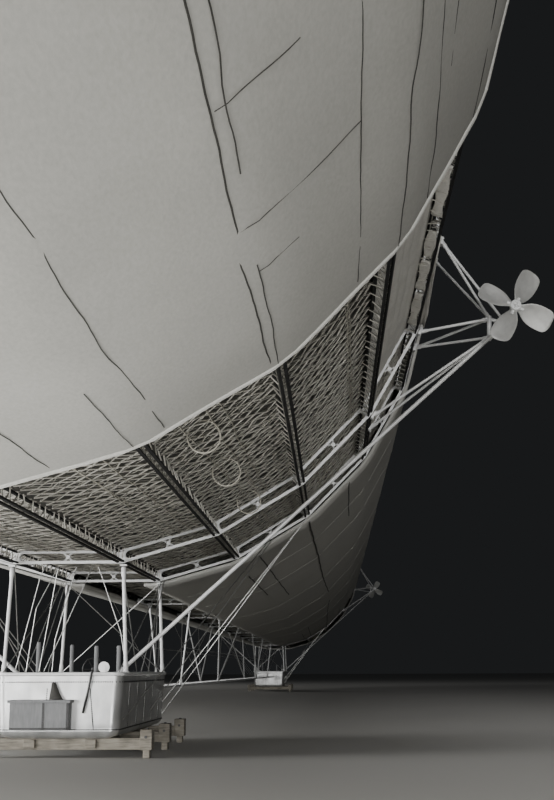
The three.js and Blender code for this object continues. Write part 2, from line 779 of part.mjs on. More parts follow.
addPiece('envelope_middle', middleCover(), coverCotton);
addPiece('keel_girder', keelGirder(), girderMetal);
addPiece('gangway', gangwayAndHangers(), girderMetal);
addPiece('gas_cell_middle', cellTube(-bay.coverReach, bay.coverReach), cellCloth);

const ends = [{ name: 'bow', end: 1 }, { name: 'stern', end: -1 }];
const flanks = [{ name: 'port', side: 1 }, { name: 'starboard', side: -1 }];

ends.forEach(({ name, end }) => {
  addPiece(`envelope_${name}`, endCover(end), coverCotton);
  addPiece(`frame_${name}`, openFrame(end), girderMetal);
  const cellFrom = (from, to) => cellTube(end * from, end * to);
  const { endClearance } = gasCell;
  addPiece(`gas_cell_${name}_inner`,
    cellFrom(bay.innerRing + endClearance, bay.outerRing - endClearance), cellCloth);
  addPiece(`gas_cell_${name}_outer`,
    cellFrom(bay.outerRing + endClearance, bay.coverEdge + gasCell.underCover), cellCloth);
  addPiece(`gondola_${name}`, gondolaTub(end), sheetMetal);
  addPiece(`gunwale_${name}`, gunwale(end), girderMetal);
  addPiece(`engine_${name}`, engine(end), darkIron);
  addPiece(`gearbox_${name}`, gearbox(end), darkIron);
  addPiece(`locker_${name}`, locker(end), greyPaint);
  addPiece(`steering_stand_${name}`, steeringStand(end), darkIron);
  addPiece(`cradle_${name}`, cradleBody(end), timber);
  flanks.forEach(({ name: flank, side }) => {
    addPiece(`outrigger_${name}_${flank}`, outrigger(end, side), girderMetal);
    addPiece(`shaft_${name}_${flank}`, driveShaft(end, side), girderMetal);
    addPiece(`propeller_${name}_${flank}`, propellerBody(end, side), sheetMetal);
  });
});

[{ name: 'upper', up: 1 }, { name: 'lower', up: -1 }].forEach(({ name, up }) => {
  const lowerZ = up === 1 ? rudder.lowerEdge : -rudder.lowerEdge - rudder.height;
  addPiece(`rudder_bow_${name}`, rudderBlade(1, 0, lowerZ), coverCotton);
  addPiece(`rudder_frame_bow_${name}`, bowRudderFrame(up), girderMetal);
});
flanks.forEach(({ name: flank, side }) => {
  addPiece(`rudder_stern_${flank}`, rudderBlade(-1, side * rudder.sideY, -rudder.height / 2), coverCotton);
  addPiece(`rudder_frame_stern_${flank}`, sternRudderFrame(side), girderMetal);
});

export default airship;
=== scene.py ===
# Rigid airship of about 1900 on its building cradles, as a display model at one tenth of full size.
# Measures in the dictionaries are metres of the full-size ship. modelScale turns them into the model's
# metres when a mesh is made. +X is forward, +Y is port, the floor is at height 0 and the bow is end 1.
import math
import bpy
import numpy as np
from mathutils import Matrix, Vector


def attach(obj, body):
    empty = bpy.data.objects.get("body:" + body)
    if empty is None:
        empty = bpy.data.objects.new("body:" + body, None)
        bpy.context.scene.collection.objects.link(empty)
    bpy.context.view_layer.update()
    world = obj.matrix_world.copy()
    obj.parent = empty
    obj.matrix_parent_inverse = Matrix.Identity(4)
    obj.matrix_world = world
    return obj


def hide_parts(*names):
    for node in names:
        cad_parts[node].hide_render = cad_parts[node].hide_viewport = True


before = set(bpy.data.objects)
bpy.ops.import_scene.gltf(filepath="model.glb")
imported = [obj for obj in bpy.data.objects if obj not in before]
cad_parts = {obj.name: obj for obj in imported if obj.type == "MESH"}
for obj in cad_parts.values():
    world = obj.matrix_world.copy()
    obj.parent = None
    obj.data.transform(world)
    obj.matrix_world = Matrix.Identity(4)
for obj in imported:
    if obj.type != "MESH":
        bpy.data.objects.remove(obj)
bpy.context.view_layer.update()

modelScale = 0.1
axisHeight = 8.60                   # hull axis above the floor
ends = {"bow": 1, "stern": -1}
flanks = {"port": 1, "starboard": -1}

print("camera, light and floor")

view = {
    "focalPixels": 1240.66,         # focal length in pixels of a frame 800 pixels high
    "frameHeight": 800,
    "station": 50.7721,             # aft of mid-length
    "starboard": 4.0101,
    "height": 1.2376,               # eye height above the floor
    "yaw": -0.044,
    "pitch": 0.215,
    "roll": -0.0037,
    "clip": (0.01, 200)             # metres of the model
}
studio = {
    "floorSize": 90.0,              # metres of the model
    "floorColour": "#c9c7c2",
    "backdrop": "#1e1f20",
    "lights": [
        # name, place and aim in metres of the model, size, power in watts
        ("port_low", (-4.2, 3.4, 0.3), (-4.0, 0, 1.1), 2.0, 235),
        ("aft_low", (-9.0, -1.0, 0.4), (-3.5, -0.3, 0.5), 1.0, 130),
        ("aft_near", (-5.6, 1.0, 0.05), (-4.5, 0.2, 1.0), 1.0, 70),
        ("keel", (-4.5, 0.3, 0.02), (-4.5, 0.3, 3.0), 1.6, 9),
        ("overhead_aft", (-6.0, 0, 4.6), (-4.6, 0, 0), 4.0, 72),
        ("bow_port", (6.0, 4.4, 1.6), (3.6, 0, 0.8), 3.0, 50),
        ("starboard", (-2.6, -6.0, 2.4), (-3.1, -0.3, 0.6), 3.6, 4)
    ]
}


def hexToLinear(code):
    # sRGB to linear: the low part is divided by 12.92, the rest is raised to the power 2.4
    parts = np.array([int(code[i:i + 2], 16) for i in (1, 3, 5)]) / 255
    linear = np.where(parts <= 0.04045, parts / 12.92, ((parts + 0.055) / 1.055) ** 2.4)
    return (*linear.tolist(), 1.0)


def addCamera():
    yaw, pitch, roll = view["yaw"], view["pitch"], view["roll"]
    forward = Vector((math.cos(yaw) * math.cos(pitch), -math.sin(yaw) * math.cos(pitch), math.sin(pitch)))
    right = Vector((-math.sin(yaw), -math.cos(yaw), 0))
    up = right.cross(forward)
    rolledRight = right * math.cos(roll) + up * math.sin(roll)
    rolledUp = up * math.cos(roll) - right * math.sin(roll)
    data = bpy.data.cameras.new("camera")
    data.lens = data.sensor_width * view["focalPixels"] / view["frameHeight"]
    data.clip_start, data.clip_end = view["clip"]
    camera = bpy.data.objects.new("camera", data)
    axes = Matrix((rolledRight, rolledUp, -forward)).transposed()
    place = Vector((-view["station"], -view["starboard"], view["height"])) * modelScale
    camera.matrix_world = Matrix.Translation(place) @ axes.to_4x4()
    bpy.context.scene.collection.objects.link(camera)
    bpy.context.scene.camera = camera


def addLights():
    for name, place, aim, size, power in studio["lights"]:
        data = bpy.data.lights.new(name, "AREA")
        data.shape = "DISK"
        data.size = size
        data.energy = power
        lamp = bpy.data.objects.new(name, data)
        lamp.visible_camera = False
        turn = (Vector(aim) - Vector(place)).to_track_quat("-Z", "Y")
        lamp.matrix_world = Matrix.Translation(place) @ turn.to_matrix().to_4x4()
        bpy.context.scene.collection.objects.link(lamp)
    world = bpy.data.worlds.new("studio")
    world.use_nodes = True
    world.node_tree.nodes["Background"].inputs["Color"].default_value = hexToLinear(studio["backdrop"])
    bpy.context.scene.world = world


addCamera()
addLights()

print("materials")


def addNode(tree, kind, sockets=None, **settings):
    # a node with its settings; a socket takes either a value or the output that feeds it
    node = tree.nodes.new(kind)
    for name, value in settings.items():
        setattr(node, name, value)
    for name, value in (sockets or {}).items():
        if isinstance(value, bpy.types.NodeSocket):
            tree.links.new(value, node.inputs[name])
        else:
            node.inputs[name].default_value = value
    return node


def patternScale(millimetres):
    # how many times a pattern of this size, in millimetres of the full-size ship, fits in a metre of model
    return 1 / (millimetres * 0.001 * modelScale)


def mottled(name, dark, light, patch, roughness, metallic=0.0, grain=0.0, grainSize=20,
            stretch=(1, 1, 1), grainDepth=0.001, roughSpread=0.08, contrast=1.0):
    # Two tones mixed by a soft noise, with a second noise of small grains as bump. patch and grainSize are
    # millimetres of the full-size ship, grainDepth is metres of the model, stretch draws the grains out.
    material = bpy.data.materials.new(name)
    material.use_nodes = True
    tree = material.node_tree
    shader = tree.nodes["Principled BSDF"]
    shader.inputs["Roughness"].default_value = roughness
    shader.inputs["Metallic"].default_value = metallic
    where = addNode(tree, "ShaderNodeTexCoord").outputs["Object"]
    drawn = addNode(tree, "ShaderNodeMapping", {"Vector": where, "Scale": stretch}).outputs["Vector"]
    patches = addNode(tree, "ShaderNodeTexNoise", {"Vector": where, "Scale": patternScale(patch),
                                                   "Detail": 4.0}).outputs["Fac"]
    grains = addNode(tree, "ShaderNodeTexNoise", {"Vector": drawn, "Scale": patternScale(grainSize),
                                                  "Detail": 3.0}).outputs["Fac"]
    spread = addNode(tree, "ShaderNodeMath", {0: patches, 1: grains}, operation="ADD").outputs[0]
    share = addNode(tree, "ShaderNodeMapRange", {"Value": spread, "From Min": 1 - 0.35 / contrast,
                                                 "From Max": 1 + 0.35 / contrast}).outputs[0]
    mix = addNode(tree, "ShaderNodeMix", {0: share, 6: hexToLinear(dark), 7: hexToLinear(light)},
                  data_type="RGBA")
    tree.links.new(mix.outputs[2], shader.inputs["Base Color"])
    rough = addNode(tree, "ShaderNodeMapRange", {"Value": patches, "From Min": 0.3, "From Max": 0.7,
                                                 "To Min": roughness - roughSpread,
                                                 "To Max": roughness + roughSpread})
    tree.links.new(rough.outputs[0], shader.inputs["Roughness"])
    if grain:
        bump = addNode(tree, "ShaderNodeBump", {"Height": grains, "Strength": grain, "Distance": grainDepth})
        tree.links.new(bump.outputs["Normal"], shader.inputs["Normal"])
    return material


# Doped cotton stretched over the hull: matt, faintly mottled, with a weave that only shows as a fine grain.
dopedCotton = mottled("doped_cotton", "#a5a49e", "#b9b8b2", 1400, 0.88, grain=0.35,
                      grainSize=28, stretch=(0.5, 1, 1), grainDepth=0.0004, contrast=0.8)
# The same cotton doubled and rolled at its edges, coloured paler than the cover: a painted highlight along
# the rolled edge.
hemHighlightCotton = mottled("hem_cotton_painted_highlight", "#b9b8b2", "#cdccc6", 500, 0.85, grain=0.4,
                      grainDepth=0.0003)
# Seam lacing: tarred cord that has gone dark with handling. The same dark colour draws the crease lines on
# the cover as painted shade of folds in the cotton.
tarredLacingAndCreaseShade = mottled("tarred_lacing_and_crease_shade", "#2c2b28", "#474641", 200, 0.8, grain=0.6,
                       grainSize=14, grainDepth=0.0005)
# Rubbered balloon cloth: slightly waxy, dusty along its folds. Its dark colour is partly painted shade, for
# the shade inside the hull behind the net.
rubberedCloth = mottled("rubbered_cloth", "#3f3e3a", "#57554f", 420, 0.78, grain=0.5,
                        grainSize=60, stretch=(0.35, 1, 1), contrast=1.1)
# Unbleached ramie twine, dry and pale.
ramieTwine = mottled("ramie_twine", "#b3b0a7", "#dad7cd", 260, 0.9, grain=0.5,
                     grainSize=10, grainDepth=0.0002)
# Hemp rope of the hoops and long cords: thicker and a little darker than the net.
hempRope = mottled("hemp_rope", "#a8a497", "#c9c5b8", 120, 0.9, grain=0.8, grainSize=12,
                   grainDepth=0.0004)
# Rolled aluminium of the rings: bright, dulled to a soft sheen by handling.
rolledAluminium = mottled("rolled_aluminium", "#d6d7d6", "#ececea", 300, 0.5, 0.25,
                          grain=0.15, grainSize=25, grainDepth=0.0002)
# Long girders of aluminium, coloured almost black against the pale net: painted shade, for the shadow their
# faces lie in.
shadedGirderBlack = mottled("girder_painted_shade", "#080807", "#131312", 240, 0.85, grain=0.2,
                      grainSize=25, grainDepth=0.0002)
# Sheet aluminium of the boats and radiators: wiped bright, with soft dents and streaks.
sheetAluminium = mottled("sheet_aluminium", "#a9aaa9", "#d0d0ce", 380, 0.40, 0.7,
                         grain=0.25, grainSize=160, stretch=(1, 1, 0.5), grainDepth=0.0012, roughSpread=0.1)
# Black enamel on cast iron, worn to a dull shine.
enamelledIron = mottled("enamelled_iron", "#262626", "#454544", 160, 0.42, 0.5, grain=0.3,
                        grainSize=18, grainDepth=0.0004)
# Straps of the long girders: pale where hands and cords have rubbed them.
paleStrap = mottled("pale_strap", "#8c8a83", "#b2b0a7", 120, 0.6, 0.3, grain=0.2,
                    grainSize=25, grainDepth=0.0002)
# Blades: sheet rubbed bright, almost white in the light.
wipedAluminium = mottled("wiped_aluminium", "#bdbdba", "#d8d8d4", 420, 0.42, 0.45,
                         grain=0.15, grainSize=90, grainDepth=0.0006)
# Unbleached cotton hung loose over the bay, coloured lighter than the cover: painted light, for the light the
# bay catches from aft and starboard.
litLooseCotton = mottled("loose_cotton_painted_light", "#d2d0c9", "#e8e6df", 300, 0.92, grain=0.4,
                      grainSize=24, grainDepth=0.0004)
# Drawn steel of the stays and the radiator's tubes.
drawnSteel = mottled("drawn_steel", "#9b9b98", "#bfbfbc", 200, 0.38, 0.85)
# Grey oil paint on sheet, brushed on and rubbed at the edges.
greyOilPaint = mottled("grey_oil_paint", "#6e6f70", "#8a8b8b", 260, 0.6, grain=0.35,
                       grainSize=24, stretch=(1, 1, 0.15), grainDepth=0.0004)
# Sawn pine that has weathered grey, with the grain along the beam.
weatheredPine = mottled("weathered_pine", "#6f6a60", "#a39d90", 300, 0.85, grain=0.8,
                        grainSize=26, stretch=(0.12, 0.12, 1), grainDepth=0.0012, contrast=1.4)
# Plain studio floor.
palePaint = mottled("pale_floor_paint", studio["floorColour"], studio["floorColour"], 4000, 0.8)

print("shapes")

hull = {
    "sides": 24,
    "bottomHalfAngle": math.radians(8.16),   # from straight down to the first corner
    "ringRadius": 5.82,                      # corners of the rings
    "cadCover": 5.923,
    "cover": 5.897,                          # outside of the cotton
    "straightEnd": 40.0,
    "tip": 64.0
}
cornerStep = (2 * np.pi - 2 * hull["bottomHalfAngle"]) / (hull["sides"] - 1)
corners = hull["bottomHalfAngle"] + cornerStep * np.arange(hull["sides"])


def unit(vectors):
    # each vector divided by its length
    vectors = np.asarray(vectors, float)
    return vectors / np.linalg.norm(vectors, axis=-1, keepdims=True)


def turns(count):
    return np.arange(count) * 2 * np.pi / count


def around(turn, level, across):
    # cosine of the turn along one direction plus its sine along the other
    return np.cos(turn)[..., None] * level + np.sin(turn)[..., None] * across


def gridFaces(rows, cols, wrapRows=False, wrapCols=False, flip=False):
    # each face joins a point to the next row, the next row and column, and the next column
    i = np.arange(rows if wrapRows else rows - 1)[:, None]
    j = np.arange(cols if wrapCols else cols - 1)[None, :]
    nextRow, nextCol = (i + 1) % rows, (j + 1) % cols
    faces = [i * cols + j, nextRow * cols + j, nextRow * cols + nextCol, i * cols + nextCol]
    faces = np.stack(np.broadcast_arrays(*faces), axis=-1).reshape(-1, 4)
    return faces[:, ::-1] if flip else faces


def sheet(grid, flip=False):
    return grid, gridFaces(*grid.shape[:2], flip=flip)


def capFaces(sides):
    # a flat end as quads that share the first corner
    first = np.arange(1, sides - 2, 2)
    return np.stack([0 * first, first, first + 1, first + 2], axis=-1)


def capped(grid, flip=False):
    # a grid closed round its columns, with flat faces over its first and last rows
    rows, cols = grid.shape[:2]
    low, high = capFaces(cols), capFaces(cols)[:, ::-1]
    if flip:
        low, high = high, low
    caps = np.concatenate([low, (rows - 1) * cols + high])
    return grid, gridFaces(rows, cols, wrapCols=True, flip=flip), caps


def drawnTogether(grid, first, last, flip):
    # a grid closed round its columns, whose end rows run to one point each; None leaves that end open
    rows, cols = grid.shape[:2]
    points, faceSets = [grid.reshape(-1, 3)], [gridFaces(rows, cols, wrapCols=True, flip=flip)]
    for pole, row, forward in ((first, 0, flip), (last, rows - 1, not flip)):
        if pole is not None:
            ring = row * cols + np.arange(cols)
            fan = np.stack([np.full(cols, sum(map(len, points))), np.roll(ring, -1), ring], axis=-1)
            faceSets.append(fan if forward else fan[:, ::-1])
            points.append(np.reshape(pole, (1, 3)))
    return (np.concatenate(points), *faceSets)


def joined(parts):
    # parts are (points, faces, faces ...); faces with the same number of corners are stacked
    points, stacks, offset = [], {}, 0
    for partPoints, *faceSets in parts:
        for faces in faceSets:
            stacks.setdefault(faces.shape[1], []).append(faces + offset)
        points.append(np.asarray(partPoints).reshape(-1, 3))
        offset += len(points[-1])
    return [np.concatenate(points)] + [np.concatenate(stack) for stack in stacks.values()]


def faceOutwards(piece):
    # every closed part of the mesh turned to face outwards
    bpy.context.view_layer.objects.active = piece
    piece.select_set(True)
    bpy.ops.object.mode_set(mode="EDIT")
    bpy.ops.mesh.select_all(action="SELECT")
    bpy.ops.mesh.normals_make_consistent(inside=False)
    bpy.ops.object.mode_set(mode="OBJECT")
    piece.select_set(False)


def makePiece(name, parts, material, body="ship", replaces=None, sharp=40, bevel=0, wall=0):
    # one mesh from its parts, in the model's metres, smooth across edges that turn less than sharp degrees
    points, *faceSets = joined(parts)
    mesh = bpy.data.meshes.new(name)
    mesh.vertices.add(len(points))
    mesh.vertices.foreach_set("co", (points * modelScale).astype(np.float32).ravel())
    totals = np.concatenate([np.full(len(faces), faces.shape[1]) for faces in faceSets])
    loops = np.concatenate([faces.ravel() for faces in faceSets])
    mesh.loops.add(len(loops))
    mesh.loops.foreach_set("vertex_index", loops.astype(np.int32))
    mesh.polygons.add(len(totals))
    mesh.polygons.foreach_set("loop_start", (np.cumsum(totals) - totals).astype(np.int32))
    mesh.polygons.foreach_set("loop_total", totals.astype(np.int32))
    mesh.update(calc_edges=True)
    mesh.shade_smooth()
    mesh.set_sharp_from_angle(angle=math.radians(sharp))
    mesh.materials.append(material)
    piece = bpy.data.objects.new(name, mesh)
    bpy.context.scene.collection.objects.link(piece)
    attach(piece, body)
    if replaces:
        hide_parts(replaces)
    if bevel:
        edges = piece.modifiers.new("edges", "BEVEL")
        edges.width = bevel * modelScale
        edges.segments = 2
        edges.limit_method = "ANGLE"
        edges.harden_normals = True
    if wall:
        solidify = piece.modifiers.new("wall", "SOLIDIFY")
        solidify.thickness = wall * modelScale
        solidify.offset = -1
        solidify.use_even_offset = False
    return piece


def sideShare(angle):
    # A straight side's distance from the axis as a share of its corners' distance: the cosine of half the
    # side's angle over the cosine of the angle from the side's middle.
    wrapped = np.mod(angle, 2 * np.pi)
    after = np.searchsorted(corners, wrapped, side="right")
    low = np.where(after == 0, corners[-1] - 2 * np.pi, corners[after - 1])
    high = np.where(after == hull["sides"], corners[0] + 2 * np.pi, corners[after % hull["sides"]])
    return np.cos((high - low) / 2) / np.cos(wrapped - (low + high) / 2)


def onHull(end, station, angle, radius):
    # x is the station, y the radius times the sine and z the radius times the cosine of the angle from below
    parts = np.broadcast_arrays(end * station, radius * np.sin(angle), axisHeight - radius * np.cos(angle))
    return np.stack(parts, axis=-1)


def at(end, station, y, z):
    # a place from its station, its side and its height above the hull axis
    parts = np.broadcast_arrays(end * np.asarray(station, float), y, axisHeight + np.asarray(z, float))
    return np.stack(parts, axis=-1).astype(float)


def outward(angle):
    return np.stack(np.broadcast_arrays(0 * angle, np.sin(angle), -np.cos(angle)), axis=-1)


def coverRadius(station):
    # An arc that leaves the straight hull without a corner and meets the axis at the tip.
    radius, length = hull["cadCover"], hull["tip"] - hull["straightEnd"]
    arc = (length ** 2 + radius ** 2) / (2 * radius)
    past = np.clip(np.asarray(station, float) - hull["straightEnd"], 0, length)
    return np.sqrt(arc ** 2 - past ** 2) - (arc - radius) - (radius - hull["cover"])


def sideAngles(side):
    return corners[side], corners[side + 1] if side < hull["sides"] - 1 else corners[0] + 2 * np.pi


def angleSamples(perSide, first=0, last=hull["sides"]):
    # even steps inside each side of the hull and none on its corners, so that cloth rounds them
    steps = (np.arange(perSide) + 0.5) / perSide
    return np.concatenate([low + (high - low) * steps for low, high in map(sideAngles, range(first, last))])


def crossAxes(along):
    # two unit directions across each given one, right-handed with it; the first lies level where it can
    up = np.where(np.abs(along[..., 2:3]) > 0.999, [1.0, 0, 0], [0.0, 0, 1.0])
    level = unit(np.cross(up, along))
    return level, np.cross(along, level)


def rods(starts, finishes, radius, sides=6, closed=True):
    # round bars: each end carries a ring of points, its centre plus the radius times directions round the bar
    starts = np.asarray(starts, float).reshape(-1, 3)
    finishes = np.asarray(finishes, float).reshape(-1, 3)
    level, across = crossAxes(unit(finishes - starts))
    ring = around(turns(sides), level[:, None], across[:, None])
    ring = ring * np.broadcast_to(radius, len(starts))[:, None, None]
    points = np.stack([starts[:, None] + ring, finishes[:, None] + ring], axis=1)
    base = (np.arange(len(starts)) * 2 * sides)[:, None, None]
    i = np.arange(sides)
    j = (i + 1) % sides
    faceSets = [base + np.stack([i, j, j + sides, i + sides], axis=-1)]
    if closed:
        cap = capFaces(sides) if sides > 3 else np.array([[0, 1, 2]])
        faceSets.append(np.concatenate([base + cap[:, ::-1], base + sides + cap], axis=1))
    return (points, *[faces.reshape(-1, faces.shape[-1]) for faces in faceSets])


def sweep(path, profile, normals, wrap=False):
    # a closed profile carried along a path: path plus u times the side direction plus v times the normal
    path, profile = np.asarray(path, float), np.asarray(profile, float)
    normals = np.broadcast_to(np.asarray(normals, float), path.shape)
    along = np.roll(path, -1, axis=0) - np.roll(path, 1, axis=0) if wrap else np.gradient(path, axis=0)
    side = unit(np.cross(unit(along), normals))
    grid = path[:, None] + profile[:, :1] * side[:, None] + profile[:, 1:] * normals[:, None]
    if wrap:
        return grid, gridFaces(*grid.shape[:2], wrapRows=True, wrapCols=True)
    return capped(grid)


def circle(radius, sides):
    return radius * np.stack([np.cos(turns(sides)), np.sin(turns(sides))], axis=-1)


def rectangle(width, height):
    return np.array([[-width, -height], [width, -height], [width, height], [-width, height]]) / 2


def boxes(centres, halves, axes=np.eye(3)):
    # a block for each centre: centre plus or minus half its size along three directions
    centres = np.asarray(centres, float).reshape(-1, 3)
    halves = np.broadcast_to(np.asarray(halves, float), centres.shape)
    axes = np.broadcast_to(np.asarray(axes, float), (len(centres), 3, 3))
    signs = np.array([[x, y, z] for z in (-1, 1) for x, y in ((-1, -1), (1, -1), (1, 1), (-1, 1))])
    offsets = np.einsum("si,ni,nij->nsj", signs, halves, axes)
    faces = np.array([[3, 2, 1, 0], [4, 5, 6, 7], [0, 1, 5, 4], [1, 2, 6, 5], [2, 3, 7, 6], [3, 0, 4, 7]])
    return centres[:, None] + offsets, ((np.arange(len(centres)) * 8)[:, None, None] + faces).reshape(-1, 4)


def plate(front, back):
    # two grids of points with a wall between their borders
    rows, cols = front.shape[:2]
    count = rows * cols
    index = np.arange(count).reshape(rows, cols)
    border = np.concatenate([index[0, :-1], index[:-1, -1], index[-1, :0:-1], index[:0:-1, 0]])
    ahead = np.roll(border, -1)
    walls = np.stack([border, ahead, ahead + count, border + count], axis=-1)
    faces = gridFaces(rows, cols)
    return np.stack([front, back]), faces, faces[:, ::-1] + count, walls


def turned(start, finish, profile, sides=16):
    # a turned body: rings of the profile's radii at its distances along the line, flat at both ends
    along = unit(np.subtract(finish, start))
    profile = np.asarray(profile, float)
    ring = around(turns(sides), *crossAxes(along))
    return capped(start + profile[:, None, :1] * along + profile[:, None, 1:] * ring, flip=True)


def strut(start, finish, radius, fork=1.6, forkLength=0.11):
    # a round tube with thicker sleeves at its ends
    length = np.linalg.norm(np.subtract(finish, start))
    thick, neck = radius * fork, forkLength * 1.5
    return turned(start, finish, [[0, thick * 0.8], [0.015, thick], [forkLength, thick], [neck, radius],
                                  [length - neck, radius], [length - forkLength, thick],
                                  [length - 0.015, thick], [length, thick * 0.8]], 10)


def torus(centre, radius, rope, turnSteps, sides):
    # a ring of rope across the ship: centre plus the radius along two directions
    out = around(turns(turnSteps), *crossAxes(np.array([1.0, 0, 0])))
    return sweep(centre + radius * out, circle(rope, sides), out, wrap=True)


def bolts(places, axis, radius, height, sides=6):
    # short round heads standing on a face
    places = np.reshape(places, (-1, 3))
    axis = np.broadcast_to(unit(axis), places.shape)
    return rods(places - axis * height * 0.3, places + axis * height, radius, sides)

print("covers")

cover = {
    "wall": 0.06,
    "edgeInner": 27.93,             # edges of the middle cover, just short of the inner rings
    "slotHalfWidth": 0.575,
    "hemRadius": 0.032,
    "hemSink": 0.006,               # how far the rolled edge of the end covers lies under the cotton's face
    "sag": 0.012,                   # how far the cotton hangs in between rings and girders
    "ringSpacing": 8.0,
    "ripple": 0.0035,
    # rows of an end cover: close at its edge and its tip, in even steps between (from, to, step)
    "edgeRows": [40.0, 40.04, 40.12],
    "bodyRows": [(40.3, 50.0, 0.42), (50.0, 63.0, 0.6)],
    "tipRows": [63.3, 63.6, 63.8, 63.88],
    "tip": 63.9
}


def cottonRadius(station, angle):
    # hull side, drawn in a little between rings and long girders, with slow ripples of a few millimetres
    span = np.sin(np.pi * np.mod(station - 4, cover["ringSpacing"]) / cover["ringSpacing"]) ** 2
    ripple = np.sin(5.1 * station + 3 * np.sin(9 * angle)) * np.sin(31 * angle + 0.6 * station)
    ripple = ripple + 0.7 * np.sin(1.9 * station + 17 * angle)
    settle = np.clip((station - 27) / 1.5, 0, 1) * np.clip((hull["tip"] - station) / 12, 0, 1)
    return coverRadius(station) * sideShare(angle) - cover["sag"] * span + cover["ripple"] * ripple * settle


def hem(end, station, angle, sink, wrap=False):
    # the rolled edge: a round cord under the cotton's face
    path = onHull(end, station, angle, cottonRadius(np.abs(station), angle) - sink)
    return sweep(path, circle(cover["hemRadius"], 8), outward(angle + 0 * station), wrap)


def endCover(name, end):
    rows = [cover["edgeRows"], *[np.arange(*steps) for steps in cover["bodyRows"]], cover["tipRows"]]
    stations, angles = np.concatenate(rows)[:, None], angleSamples(7)
    grid = onHull(end, stations, angles, cottonRadius(stations, angles))
    shell = drawnTogether(grid, None, onHull(end, cover["tip"], 0.0, 0.0), end == 1)
    makePiece(f"cover_{name}", [shell], dopedCotton, replaces=f"envelope_{name}", wall=cover["wall"])
    edge = hem(end, hull["straightEnd"], angleSamples(5), cover["hemSink"], wrap=True)
    makePiece(f"cover_hem_{name}", [edge], hemHighlightCotton)


def middleCover():
    reach = cover["edgeInner"]
    stations = np.linspace(-reach, reach, 71)
    slotAngle = math.atan(cover["slotHalfWidth"] / (hull["cover"] * math.cos(hull["bottomHalfAngle"])))
    edge = np.array([slotAngle, (slotAngle + corners[0]) / 2])
    angles = np.concatenate([edge, angleSamples(5, 0, 23), 2 * np.pi - edge[::-1]])
    grid = onHull(1, stations[:, None], angles, cottonRadius(np.abs(stations)[:, None], angles))
    makePiece("cover_middle", [sheet(grid, flip=True)], dopedCotton, replaces="envelope_middle",
              wall=cover["wall"])
    parts = [hem(end, reach, angles, cover["wall"] / 2) for end in (1, -1)]
    parts += [hem(1, stations, side * slotAngle, cover["wall"] / 2) for side in (1, -1)]
    makePiece("cover_hem_middle", parts, hemHighlightCotton)


for name, end in ends.items():
    endCover(name, end)
middleCover()

print("seams")

seams = {
    # width, then the places the seam passes: station and degrees from straight down
    "laced": [
        (0.012, [(40.0, 36.6), (41.05, 36.26), (41.9, 36.3), (42.43, 36.2), (42.83, 36.17), (43.28, 36.53),
                 (44.01, 36.6), (44.71, 36.9), (45.36, 37.2), (46.2, 37.8), (47.5, 38.4)]),
        (0.008, [(40.0, 37.2), (41.15, 37.26), (41.82, 37.2), (42.64, 37.25)]),
        (0.008, [(44.03, 37.64), (44.44, 37.77), (44.8, 37.85), (45.0, 38.05), (45.26, 38.4), (45.56, 38.56),
                 (47.0, 39.4)]),
        (0.008, [(40.15, 25.86), (41.33, 25.76), (42.05, 25.6), (42.57, 25.3), (43.2, 25.45), (43.72, 25.37),
                 (44.16, 25.4), (44.59, 25.58), (44.93, 25.47), (47.4, 25.3)]),
        (0.007, [(40.2, 47.0), (42.43, 47.15), (43.43, 47.5), (44.47, 48.1), (47.2, 49.6)]),
        (0.008, [(40.0, 52.3), (41.95, 52.2), (43.02, 52.35), (43.85, 53.3), (46.6, 54.6)]),
        (0.006, [(40.1, 57.2), (42.65, 56.35), (44.4, 56.2)]),
        (0.006, [(42.4, 58.2), (43.1, 58.35), (45.8, 59.2)]),
        (0.006, [(40.05, 22.7), (41.22, 22.5), (42.07, 22.4)]),
        (0.007, [(40.05, 15.5), (41.26, 15.25), (45.2, 14.6)]),
        (0.012, [(40.1, 66.0), (46.8, 65.0)]),
        (0.012, [(40.1, 81.0), (47.4, 80.0)]),
        (0.012, [(40.1, 110.0), (47.0, 108.0)]),
        (0.012, [(40.1, 140.0), (46.0, 139.0)]),
        (0.012, [(40.1, 168.0), (46.0, 168.0)])
    ],
    "middle": [
        (0.034, [(27.9, 37.5), (20.0, 38.5), (12.0, 39.2), (3.0, 41.0)]),
        (0.026, [(27.3, 26.7), (20.0, 27.2), (14.0, 27.7)]),
        (0.022, [(24.7, 22.6), (18.0, 23.1)]),
        (0.028, [(27.8, 47.8), (22.0, 48.8)]),
        (0.020, [(27.8, 81.0), (14.0, 81.6)]),
        (0.020, [(27.8, 125.0), (12.0, 125.4)])
    ],
    # dark strips of painted shade along folds in the cotton: station, degrees from and to, width
    "creaseShadows": [(43.28, 36.7, 47.4, 0.0045), (44.78, 37.2, 43.5, 0.0045), (42.50, 37.3, 41.0, 0.003)],
    "step": 0.12,
    "middleStep": 0.5,
    "wander": 0.05,                 # degrees either way that a laced seam strays
    "height": 0.005,
    "lap": [(-0.015, -0.005), (0.015, -0.005), (0.015, 0.001), (-0.015, 0.004)],
    "lapLift": 0.003,
    "endLaps": [47.9, 53.2, 58.6],
    "middleLaps": [4.1, 12.0, 20.1, 24.0]
}


def seamRope(end, side, station, angle, width):
    # a flat strip that lies on the cotton along the places given: a seam's cord, and in the creases a strip
    # of painted shade
    path = onHull(end, station, side * angle, cottonRadius(station, angle) + 0.002)
    return sweep(path, rectangle(width, seams["height"]), outward(side * angle))


